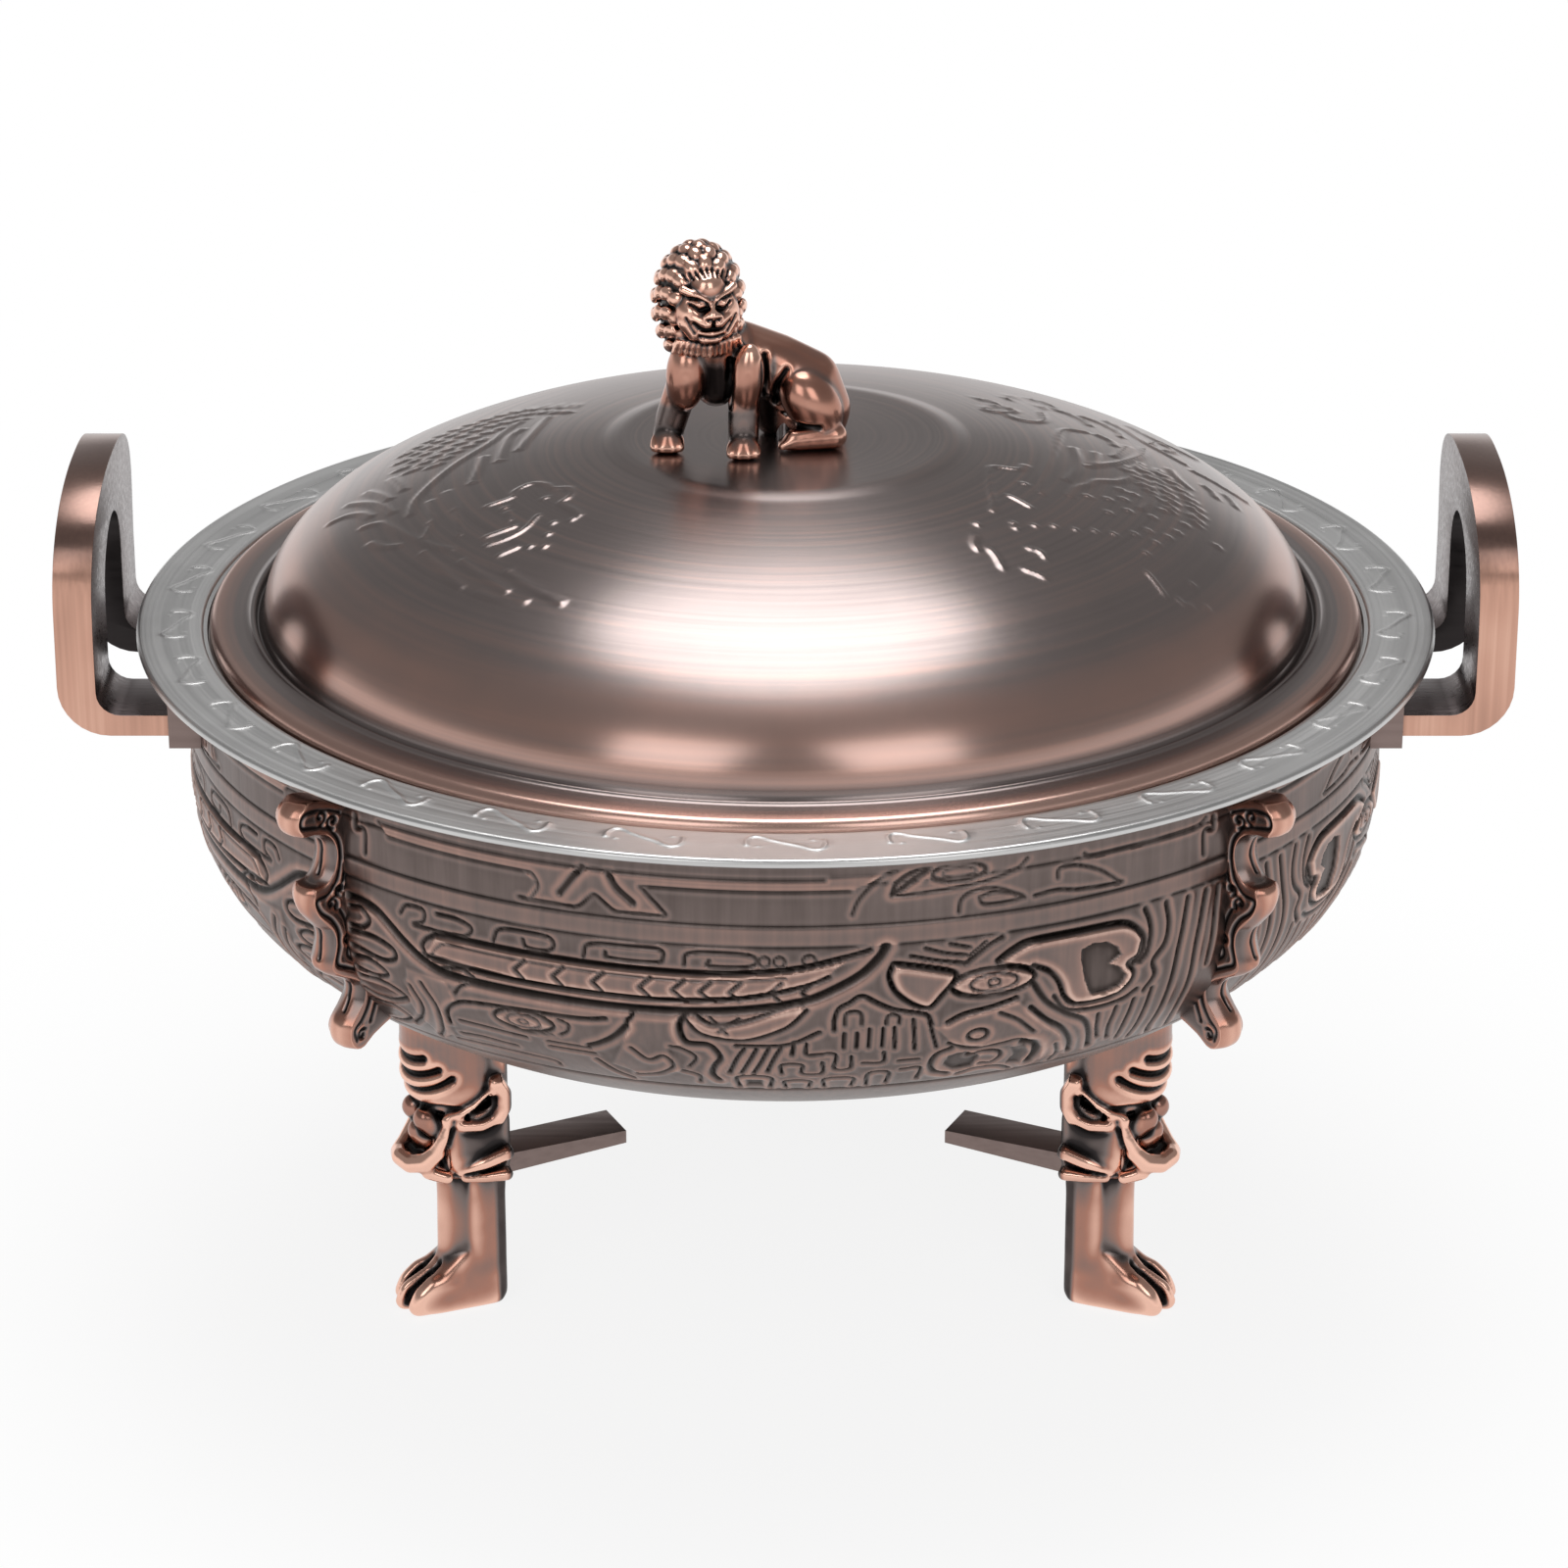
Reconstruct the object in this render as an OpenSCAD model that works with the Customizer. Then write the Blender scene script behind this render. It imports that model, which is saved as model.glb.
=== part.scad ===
// Round chafing dish. A patterned bowl on three beast-mask legs carries a stainless food pan, and a
// brushed dome lid with a seated lion for its knob lies on a ledge inside the pan's rim.
// The origin is on the table under the middle of the bowl, +X runs through the right handle,
// -Y is the front and +Z is up. Heights named "drop" are measured down from the pan's rim.

/* [Bowl] */
// Height of the food pan's rim above the table
rim_z = 184; // [178:1:200]
// Outer radius of the bowl's upright wall
bowl_r = 155; // [150:0.5:165]
// Thickness of the bowl's wall
bowl_t = 1.5; // [1.2:0.1:2]
// Height of the bowl's upright wall under the pan's rim
bowl_upright_h = 40.3; // [36:0.1:44]
// Depth of the bowl's round lower part
bowl_dish_h = 57.5; // [52:0.5:62]
// Fullness of the bowl's round lower part, where 2 is an ellipse
bowl_fullness = 2.16; // [1.9:0.02:2.4]
// Radius of the flame opening in the bowl's bottom
flame_r = 57; // [48:1:64]
// Radius of the rolled lips at the bowl's top and at its flame opening
lip_r = 1.3; // [1:0.1:1.6]
// Drop of the upper ring groove
groove_high_drop = 12; // [10:0.5:14]
// Drop of the lower ring groove
groove_low_drop = 23.5; // [20:0.5:26]
// Width of the ring grooves
groove_w = 1.2; // [0.8:0.1:2]
// Depth of the ring grooves
groove_d = 0.4; // [0.2:0.05:0.6]

/* [Food pan] */
// Thickness of the food pan's sheet
pan_t = 1; // [0.8:0.1:1.3]
// Width by which the pan's rim reaches past the bowl's wall
pan_rim_over = 13; // [10:0.5:14]
// Gap between the pan's step and the bowl's wall
pan_fit = 1.7; // [1.2:0.1:3]
// Radius of the rolled edge of the pan's rim
pan_edge_r = 1.1; // [0.8:0.05:1.3]
// Drop of the ledge that carries the lid
ledge_drop = 3.2; // [2.5:0.1:4.5]
// Width of the ledge that carries the lid
ledge_w = 6.8; // [5:0.2:8]
// Depth of the pan under its rim
pan_depth = 62; // [50:1:66]
// Amount by which the pan's wall leans in
pan_lean = 5; // [3:0.5:8]
// Radius of the pan's lower corner
pan_corner_r = 18; // [12:1:24]

/* [Lid] */
// Thickness of the lid's sheet
lid_t = 1.2; // [1:0.1:1.5]
// Gap between the lid's edge and the pan's step
lid_fit = 1.6; // [1:0.1:2.4]
// Width of the lid's flange, from its edge to the groove round the dome
flange_w = 14; // [12:0.2:15]
// Height of the flange above the pan's rim
flange_rise = 1.6; // [1:0.1:2.5]
// Radius of the bead on the inner side of the flange
bead_r = 0.9; // [0.6:0.05:1.2]
// Height of the dome above the flange
dome_h = 45.4; // [38:0.2:50]
// Fullness of the dome, where 2 is an ellipse
dome_fullness = 2.05; // [1.9:0.05:2.3]
// Radius of the round boss on the dome
boss_r = 44.6; // [40:0.2:48]
// Height of the round boss above the dome
boss_step = 0.8; // [0.5:0.1:1.2]

/* [Lion] */
// Height of the seated lion, which grows as a whole
lion_h = 54; // [48:0.2:60]
// Turn of the lion's head from the front towards its body, in degrees
lion_gaze = 12; // [0:1:25]

/* [Fins] */
// Thickness of a fin
fin_t = 8.5; // [8:0.5:11]
// Width of the rounded edge of a fin
fin_round = 1.5; // [0.8:0.1:2]
// Distance by which a fin's hook stands off the bowl's wall
fin_reach = 15.2; // [13:0.2:17]

/* [Handles] */
// Distance from the bowl's wall to the outer face of a handle
handle_reach = 29.6; // [27:0.2:36]
// Width of a handle
handle_w = 84; // [76:1:90]
// Height of a handle above the pan's rim
handle_rise = 41.2; // [38:0.2:50]
// Height of the arched part of a handle
arch_h = 27.8; // [24:0.2:34]
// Fullness of a handle's arch, where 2 is an ellipse
arch_fullness = 2.43; // [2:0.01:2.8]
// Thickness of a handle's upright plate
handle_t = 9.8; // [8:0.1:11]
// Thickness of a handle's arms
arm_t = 5.6; // [5:0.1:7]
// Drop of the underside of a handle's arms
arm_drop = 20.6; // [19:0.1:22]
// Radius of the outer bend
bend_r = 13; // [10:0.5:15]
// Radius of the inner bend
bend_inner_r = 6; // [3:0.5:7]
// Radius of the bow of the upright plate
bow_r = 560; // [300:10:700]
// Width of the finger slot
slot_w = 33; // [28:0.5:38]
// Height of the top of the finger slot above the pan's rim
slot_rise = 24.2; // [20:0.2:28]
// Width of a handle's bracket
bracket_w = 90; // [86:1:96]
// Height of a handle's bracket
bracket_h = 12; // [11:0.5:16]
// Drop of the underside of a handle's bracket
bracket_drop = 22.8; // [22:0.1:24.5]
// Distance by which a bracket's face stands off the bowl's wall
bracket_out = 1.5; // [1:0.1:3]

/* [Legs] */
// Direction of the two front legs, in degrees from the front
leg_spread = 65; // [60:1:70]
// Distance of a leg's flat back from the middle
leg_back_r = 84.5; // [80:0.5:90]
// Depth of a leg's head from back to brow
head_depth = 26; // [24:0.5:28]
// Half of the width of a leg's head
head_half_w = 13; // [11.5:0.25:14]
// Height of the jaw's lower edge above the table
jaw_z = 40; // [36:1:44]
// Width of a leg's shank
shank_w = 14; // [12:0.5:16]
// Depth of a leg's shank, without its rib
shank_depth = 13; // [11:0.5:14]
// Length of a foot, from heel to toes
foot_len = 30.5; // [27:0.5:33]
// Width of a foot
foot_w = 16; // [14.5:0.5:18]
// Height of the toes
toe_h = 10.5; // [9:0.5:12]
// Depth of the three grooves over the brow
brow_groove_d = 1.2; // [0.6:0.1:1.6]

/* [Burner arms] */
// Height of the top of the burner arms above the table
burner_z = 43.7; // [42:0.1:46]
// Distance of an arm's tip from the middle
burner_tip_r = 50; // [44:1:58]
// Width of a burner arm at its tip
burner_w = 13.6; // [12:0.1:15]
// Width of a burner arm at its leg
burner_root_w = 12; // [10:0.1:13]
// Thickness of a burner arm at its tip
burner_t = 3.6; // [3:0.1:4.5]
// Thickness of a burner arm at its leg
burner_root_t = 5.6; // [5.2:0.1:7]

/* [Fasteners] */
// Radius of the small screws
screw_r = 2; // [1.8:0.1:2.2]
// Radius of the leg and finial screws
big_screw_r = 2.5; // [2.3:0.1:2.8]
// Clearance round a screw
screw_fit = 0.1; // [0.05:0.01:0.15]
// Depth to which a screw reaches into the piece that it holds
screw_grip = 8; // [7:0.5:9]
// Radius of a screw's head, as a share of the screw's radius
head_share = 1.9; // [1.7:0.05:2]
// Thickness of the washers
washer_t = 1.2; // [1:0.1:1.6]
// Outer radius of the washers
washer_r = 6; // [5.5:0.1:7]
// Gap at a loose seat, such as the pan on the bowl and the lid on the pan
seat = 0.3; // [0.2:0.05:0.4]

/* [Hidden] */
$fn = 128;

// Directions round the bowl, in degrees from the front
fin_places = [-45, 45, -135, 135];
leg_places = [-leg_spread, leg_spread, 180];
handle_places = [-90, 90];

// Colours
copper = [0.47, 0.36, 0.32];
bright_copper = [0.74, 0.48, 0.38];
steel = [0.62, 0.62, 0.62];
zinc = [0.72, 0.73, 0.74];

// Radii worked out from the bowl inwards
bowl_inner_r = bowl_r - bowl_t;
pan_rim_r = bowl_r + pan_rim_over;
pan_open_r = bowl_inner_r - pan_fit - pan_t;
pan_wall_r = pan_open_r - ledge_w;
lid_edge_r = pan_open_r - lid_fit;
dome_r = lid_edge_r - flange_w;

// Heights
bowl_top_z = rim_z - pan_t - seat;
bowl_turn_z = rim_z - bowl_upright_h;
bowl_bottom_z = bowl_turn_z - bowl_dish_h;
ledge_z = rim_z - ledge_drop;
flange_z = rim_z + flange_rise;
arc_steps = 18;

// Curves

// Points on a round arc from angle a to angle b
function arc(cx, cy, r, a, b, n) =
    [for (i = [0:n]) let (t = a + (b - a) * i / n) [cx + r * cos(t), cy + r * sin(t)]];

// A point on a closed smooth curve through the points p, at the share u of the way to the next one
function on_curve(a, b, c, d, u) =
    0.5 * (2 * b + (c - a) * u + (2 * a - 5 * b + 4 * c - d) * u * u + (3 * b - a - 3 * c + d) * u * u * u);
function smooth_loop(p, n) = [
    for (i = [0:len(p) - 1], k = [0:n - 1])
        let (m = len(p)) on_curve(p[(i + m - 1) % m], p[i], p[(i + 1) % m], p[(i + 2) % m], k / n)
];

// The left-hand normal of a path at one of its points
function unit(v) = v / norm(v);
function path_normal(p, i) =
    let (a = p[max(i - 1, 0)], b = p[min(i + 1, len(p) - 1)], t = unit(b - a)) [-t.y, t.x];
function beside(p, d) = [for (i = [0:len(p) - 1]) p[i] + d * path_normal(p, i)];
function reversed(p) = [for (i = [len(p) - 1:-1:0]) p[i]];
function sheet_outline(p, t) = concat(p, reversed(beside(p, t)));

// A closed outline moved inwards by d
function loop_normal(p, i) =
    let (m = len(p), t = unit(p[(i + 1) % m] - p[(i + m - 1) % m])) [-t.y, t.x];
function inset(p, d) = [for (i = [0:len(p) - 1]) p[i] + d * loop_normal(p, i)];

// Height of the bowl's outer face at the radius r of its round lower part
function dish_z(r) =
    let (c = (r - flame_r) / (bowl_r - flame_r))
    bowl_turn_z - bowl_dish_h * pow(sqrt(1 - c * c), 2 / bowl_fullness);
function dish_slope(r) = atan(dish_z(r + 0.5) - dish_z(r - 0.5));

// Placement

// Turns a piece that points along +X to a direction counted from the front
module facing(place) {
    rotate([0, 0, place - 90]) children();
}

// Stands a tool on the bowl's round lower part at the radius r, with -Z pointing out of the bowl
module on_dish(r) {
    translate([r, 0, dish_z(r)]) rotate([0, -dish_slope(r), 0]) children();
}

// Fasteners, which point along -Z with the underside of the head at zero
module screw(r, reach, head_h) {
    translate([0, 0, -reach]) cylinder(r = r, h = reach + head_h / 2, $fn = 32);
    cylinder(r = r * head_share, h = head_h * 0.6, $fn = 32);
    translate([0, 0, head_h * 0.6])
        cylinder(r1 = r * head_share, r2 = r * head_share * 0.6, h = head_h * 0.4, $fn = 32);
}

module screw_hole(r, reach) {
    translate([0, 0, -reach - screw_fit]) cylinder(r = r + screw_fit, h = reach * 2, $fn = 32);
}

// Bowl

bowl_face = [for (i = [0:arc_steps]) let (t = 90 * i / arc_steps)
    [flame_r + (bowl_r - flame_r) * cos(t), bowl_turn_z - bowl_dish_h * pow(sin(t), 2 / bowl_fullness)]];
bowl_full_face = concat([[bowl_r, bowl_top_z]], bowl_face);

function groove(drop) = let (z = rim_z - drop) [
    [bowl_r, z + groove_w / 2], [bowl_r - groove_d, z + groove_w / 4],
    [bowl_r - groove_d, z - groove_w / 4], [bowl_r, z - groove_w / 2]
];

// Everything inside the bowl's outer face, to shape what seats on it
module bowl_body() {
    rotate_extrude() polygon(concat(bowl_full_face, [[0, bowl_bottom_z], [0, bowl_top_z]]));
}

module bowl() {
    color(copper)
    difference() {
        union() {
            rotate_extrude()
                polygon(concat([[bowl_r, bowl_top_z]], groove(groove_high_drop), groove(groove_low_drop),
                    bowl_face, reversed(beside(bowl_full_face, -bowl_t))));
            rotate_extrude() translate([bowl_r, bowl_top_z - lip_r]) circle(r = lip_r, $fn = 24);
            rotate_extrude() translate([flame_r, bowl_bottom_z + lip_r]) circle(r = lip_r, $fn = 24);
        }
        for (place = fin_places) facing(place) fin_holes(bowl_r);
        for (place = handle_places) facing(place) handle_holes(bowl_r);
        for (place = leg_places) facing(place) on_dish(leg_screw_r) screw_hole(big_screw_r, bowl_t * 4);
    }
}

// Food pan

pan_turn_r = 1.4;
pan_face = concat(
    [[pan_rim_r - pan_edge_r, rim_z]],
    arc(pan_open_r + pan_turn_r, rim_z - pan_turn_r, pan_turn_r, 90, 180, 3),
    [[pan_open_r - 0.2, ledge_z], [pan_wall_r + 1, ledge_z], [pan_wall_r, ledge_z - 1]],
    arc(pan_wall_r - pan_lean - pan_corner_r, rim_z - pan_depth + pan_corner_r, pan_corner_r, 0, -90, 9),
    [[0, rim_z - pan_depth]]
);

module food_pan() {
    color(steel) {
        rotate_extrude() polygon(sheet_outline(pan_face, pan_t));
        rotate_extrude()
            translate([pan_rim_r - pan_edge_r, rim_z - pan_edge_r]) circle(r = pan_edge_r, $fn = 24);
    }
}

// Lid

dome_face = [for (i = [0:arc_steps]) let (t = 90 * i / arc_steps)
    [dome_r * pow(cos(t), 2 / dome_fullness), flange_z + dome_h * pow(sin(t), 2 / dome_fullness)]];
function dome_z(r) = flange_z + dome_h * pow(1 - pow(r / dome_r, dome_fullness), 1 / dome_fullness);
boss_z = dome_z(boss_r) + boss_step;
lid_face = concat(
    [[lid_edge_r, ledge_z + seat], [lid_edge_r, flange_z - 2.6]],
    arc(lid_edge_r - 2.4, flange_z - 2.4, 2.4, 10, 80, 4),
    [[dome_r + 3, flange_z], [dome_r + 1.2, flange_z - 1], [dome_r + 0.1, flange_z - 0.6]],
    [for (p = dome_face) if (p.x > boss_r + 1.5) p],
    [[boss_r + 0.8, dome_z(boss_r + 0.8)], [boss_r, boss_z], [0, boss_z]]
);

module lid() {
    color(copper)
    difference() {
        union() {
            rotate_extrude() polygon(sheet_outline(lid_face, lid_t));
            rotate_extrude()
                translate([dome_r + 3, flange_z - bead_r / 3]) circle(r = bead_r, $fn = 24);
        }
        translate([0, 0, boss_z]) screw_hole(big_screw_r, lid_t * 4);
    }
}

// Lion, drawn at its first height and scaled to the one that is set. Its body points along -X, its near
// side is to the front, and it turns its head to the front.

lion_drawn_h = 54.6;

module ball(p, r, fn = 14) {
    translate(p) sphere(r = r, $fn = fn);
}

module limb(a, ra, b, rb) {
    hull() {
        ball(a, ra);
        ball(b, rb);
    }
}

module lion_trunk() {
    hull() {
        ball([-18, -8, 17], 6.5);
        ball([-19, -8, 28], 9, 18);
        ball([-12, -4, 24], 7.5);
    }
    hull() {
        ball([-12, -4, 24.5], 7.5, 18);
        ball([3, -1, 17.5], 7.5, 18);
        ball([9, -1, 11.5], 8.4, 18);
    }
    limb([9, -1, 11.5], 8.4, [9.6, -1, 6], 7.5);
}

module lion_head() {
    hull() {
        ball([-22.1, -6.5, 42.7], 11.9, 22);
        ball([-22.6, -5.5, 33], 11.2, 18);
    }
    translate([-20, -8, 40]) rotate([0, 0, lion_gaze]) {
        hull() {
            ball([0, -5, 3], 6.5);
            ball([0, -5.5, -5], 6);
        }
        hull() {
            ball([-2, -10.5, -2], 2.4, 12);
            ball([2, -10.5, -2], 2.4, 12);
            ball([0, -9.5, -6], 3, 12);
        }
        for (side = [-1, 1]) ball([side * 3.9, -10, 1.6], 1.5, 10);
    }
}

module lion_fore_leg(paw, shoulder) {
    limb(shoulder + [0, 2, 2], 5.6, shoulder + [0, -0.5, -6], 3.6);
    limb(shoulder + [0, -0.5, -6], 3.5, paw + [0, 1.5, 4], 2.8);
    for (toe = [-1, 0, 1]) limb(paw + [toe * 1.9, 1, 1.8], 2, paw + [toe * 2.1, -1.7, 1.4], 1.7);
}

module lion_hind_leg(side) {
    limb([6, side * 6 - 1, 13], 6.5, [0.5, side * 8.5 - 1, 17], 4);
    limb([0.5, side * 8.5 - 1, 16.5], 3.6, [11.5, side * 8 - 1, 5], 3.4);
    limb([12, side * 8.5 - 1, 3], 2.9, [2.8, side * 10 - 1, 2.6], 2.5);
}

module lion_finial() {
    color(bright_copper)
    difference() {
        translate([0, 0, boss_z]) scale(lion_h / lion_drawn_h) {
            lion_trunk();
            lion_head();
            lion_fore_leg([-11.6, -14.4, 0], [-10.2, -11.5, 22]);
            lion_fore_leg([-29.6, -8, 0], [-25.5, -9.5, 22]);
            lion_hind_leg(-1);
            lion_hind_leg(1);
        }
        translate([0, 0, boss_z - lion_h]) cylinder(r = lion_h, h = lion_h);
        translate([0, 0, boss_z]) screw_hole(big_screw_r, screw_grip);
    }
}

module finial_screw() {
    color(zinc)
    translate([0, 0, boss_z - lid_t - washer_t]) mirror([0, 0, 1]) screw(big_screw_r, finial_reach, 3);
}

module finial_washer() {
    color(zinc)
    translate([0, 0, boss_z - lid_t - washer_t])
        difference() {
            cylinder(r = washer_r, h = washer_t, $fn = 48);
            translate([0, 0, -1]) cylinder(r = big_screw_r + screw_fit, h = washer_t + 2, $fn = 32);
        }
}

finial_reach = lid_t + washer_t + screw_grip - 1;

// Fins, outlined in the distance from the bowl's wall and the height from the pan's rim

fin_ridge = [
    [-6, -8.5], [0.07 * fin_reach, -8.8], [0.4 * fin_reach, -6.6], [0.74 * fin_reach, -6.1],
    [0.97 * fin_reach, -8.8], [fin_reach, -12], [0.87 * fin_reach, -14.8], [0.6 * fin_reach, -15.2],
    [0.34 * fin_reach, -17.2], [0.24 * fin_reach, -21.5], [0.31 * fin_reach, -26], [0.48 * fin_reach, -29],
    [0.68 * fin_reach, -29.4], [0.75 * fin_reach, -32], [0.67 * fin_reach, -36], [0.5 * fin_reach, -39.5],
    [0.36 * fin_reach, -42], [0.32 * fin_reach, -45], [0.37 * fin_reach, -48.5], [0.43 * fin_reach, -51.5],
    [0.27 * fin_reach, -54.2], [-0.01 * fin_reach, -56.5], [-0.21 * fin_reach, -59],
    [-0.23 * fin_reach, -62.5], [-0.08 * fin_reach, -66], [0.08 * fin_reach, -69], [0.1 * fin_reach, -72.5],
    [-0.02 * fin_reach, -75.4], [-0.28 * fin_reach, -76], [-8, -73.5], [-22, -66], [-14, -50], [-9, -30]
];
fin_curve = [for (p = smooth_loop(fin_ridge, 3)) [p.x + bowl_r, p.y + rim_z]];
fin_screw_drops = [13, 34];
fin_depth = fin_t / 2;

module fin_layer(d, half) {
    rotate([90, 0, 0]) translate([0, 0, -half]) linear_extrude(2 * half) polygon(inset(fin_curve, -d));
}

// Holes for the screws of one fin, from inside the bowl to the radius of their ends
module fin_holes(end_r) {
    for (drop = fin_screw_drops)
        translate([bowl_inner_r - screw_grip, 0, rim_z - drop]) rotate([0, 90, 0])
            cylinder(r = screw_r + screw_fit, h = end_r - bowl_inner_r + screw_grip + 1, $fn = 32);
}

fin_grip = fin_reach * 0.3;

module fin(place) {
    color(bright_copper)
    facing(place)
    difference() {
        union() {
            fin_layer(0, fin_depth - fin_round);
            fin_layer(fin_round * 0.35, fin_depth - fin_round * 0.45);
            fin_layer(fin_round, fin_depth);
        }
        bowl_body();
        fin_holes(bowl_r + fin_grip);
    }
}

module fin_front_left() fin(fin_places[0]);
module fin_front_right() fin(fin_places[1]);
module fin_back_left() fin(fin_places[2]);
module fin_back_right() fin(fin_places[3]);

module fin_screws() {
    color(zinc)
    for (place = fin_places) facing(place)
        for (drop = fin_screw_drops)
            translate([bowl_inner_r - screw_fit, 0, rim_z - drop]) rotate([0, -90, 0])
                screw(screw_r, bowl_t + fin_grip, 2.2);
}

// Handles

bracket_face_r = bowl_r + bracket_out;
handle_face_r = bowl_r + handle_reach;
arm_low_z = rim_z - arm_drop;
arm_mid_z = arm_low_z + arm_t / 2;
arm_mid_y = (handle_w + slot_w) / 4;
handle_screw_angle = asin(arm_mid_y / bracket_face_r);
bow_x = handle_face_r - bow_r;
inner_bow_r = bow_r - handle_t;
handle_top_z = rim_z + handle_rise;
arm_top_z = arm_low_z + arm_t;
handle_side = concat(
    [[bracket_face_r, arm_top_z], [bracket_face_r, arm_low_z]],
    arc(handle_face_r - bend_r, arm_low_z + bend_r, bend_r, -90, 0, 8),
    arc(bow_x, rim_z, bow_r, 0, asin(handle_rise / bow_r), 8),
    reversed(arc(bow_x, rim_z, inner_bow_r, 0, asin(handle_rise / inner_bow_r), 8)),
    arc(handle_face_r - handle_t - bend_inner_r, arm_top_z + bend_inner_r, bend_inner_r, 0, -90, 6)
);

module handle_blank() {
    rotate([90, 0, 0]) translate([0, 0, -handle_w / 2]) linear_extrude(handle_w) polygon(handle_side);
}

// The handle as seen from outside: straight sides under an arch
handle_front = concat([[handle_w / 2, arm_low_z - 1]], [for (i = [0:36]) let (t = 5 * i)
    [sign(cos(t)) * handle_w / 2 * pow(abs(cos(t)), 2 / arch_fullness),
        handle_top_z - arch_h + arch_h * pow(sin(t), 2 / arch_fullness)]],
    [[-handle_w / 2, arm_low_z - 1]]);

module handle_arch() {
    rotate([90, 0, 90]) linear_extrude(handle_face_r + 1) polygon(handle_front);
}

module finger_slot() {
    slot_mid_z = rim_z + slot_rise - slot_w / 2;
    translate([0, 0, slot_mid_z]) rotate([0, 90, 0])
        cylinder(r = slot_w / 2, h = handle_face_r + 1);
    translate([0, -slot_w / 2, arm_low_z - 1]) cube([handle_face_r + 1, slot_w, slot_mid_z - arm_low_z + 1]);
}

// Holes for the two screws of a handle, from inside the bowl to the radius of their ends
module handle_holes(end_r) {
    for (side = [-1, 1]) rotate([0, 0, side * handle_screw_angle])
        translate([bowl_inner_r - screw_grip, 0, arm_mid_z]) rotate([0, 90, 0])
            cylinder(r = screw_r + screw_fit, h = end_r - bowl_inner_r + screw_grip + 1, $fn = 32);
}

handle_screw_reach = bowl_t + bracket_out + 3 + screw_grip;

module handle(place) {
    color(bright_copper)
    facing(place)
    difference() {
        intersection() {
            handle_blank();
            handle_arch();
        }
        finger_slot();
        handle_holes(bowl_inner_r + handle_screw_reach);
    }
}

module handle_left() handle(handle_places[0]);
module handle_right() handle(handle_places[1]);

module handle_bracket(place) {
    color(copper)
    facing(place)
    difference() {
        translate([0, -bracket_w / 2, rim_z - bracket_drop]) cube([bracket_face_r, bracket_w, bracket_h]);
        bowl_body();
        handle_holes(bracket_face_r + bracket_w);
    }
}

module handle_bracket_left() handle_bracket(handle_places[0]);
module handle_bracket_right() handle_bracket(handle_places[1]);

module handle_screws() {
    color(zinc)
    for (place = handle_places, side = [-1, 1]) facing(place) rotate([0, 0, side * handle_screw_angle])
        translate([bowl_inner_r - screw_fit, 0, arm_mid_z]) rotate([0, -90, 0])
            screw(screw_r, handle_screw_reach, 2.2);
}

// Legs, with the head's parts placed from the leg's flat back, its width and the jaw

head_mid_r = leg_back_r + head_depth - head_half_w;
brow_rise = 29;
back_rise = 16;
head_low_z = jaw_z + brow_rise;
brow_half_w = head_half_w * 0.8;
leg_top_z = bowl_bottom_z + 12;
leg_screw_r = head_mid_r - 1;
shank_top_z = jaw_z + 5;
shank_rib_r = 4;
toe_r = toe_h / 2;
toe_step = (foot_w - toe_h * 0.8) / 2;
toe_tip_r = leg_back_r + foot_len - toe_r;
instep_rise = 16.5;
crescent_rises = [0, 4.6, 9.2];
stud_z = burner_z - burner_root_t / 2;

// One form of the head, hulled over balls. A ball has its distance from the back, its side, its height over
// the jaw and its radius.
module leg_form(balls, fn = 12) {
    hull() for (b = balls) translate([leg_back_r + b[0], b[1], jaw_z + b[2]]) sphere(r = b[3], $fn = fn);
}

// The head's round brow, which runs up to the bowl and back to the flat back
module leg_brow() {
    hull() {
        translate([head_mid_r, 0, head_low_z]) sphere(r = head_half_w, $fn = 26);
        translate([head_mid_r, 0, head_low_z])
            cylinder(r = head_half_w, h = leg_top_z - head_low_z, $fn = 26);
        translate([leg_back_r, -brow_half_w, jaw_z + back_rise])
            cube([1, 2 * brow_half_w, leg_top_z - jaw_z - back_rise]);
    }
}

// Three crescents over the brow, one above the other
module brow_crescents() {
    for (rise = crescent_rises)
        translate([head_mid_r + head_half_w * 0.3, 0, head_low_z - 1 + rise]) rotate([0, 35, 0])
            rotate_extrude($fn = 24)
                translate([head_half_w * 0.88, 0]) circle(r = brow_groove_d, $fn = 6);
}

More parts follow.
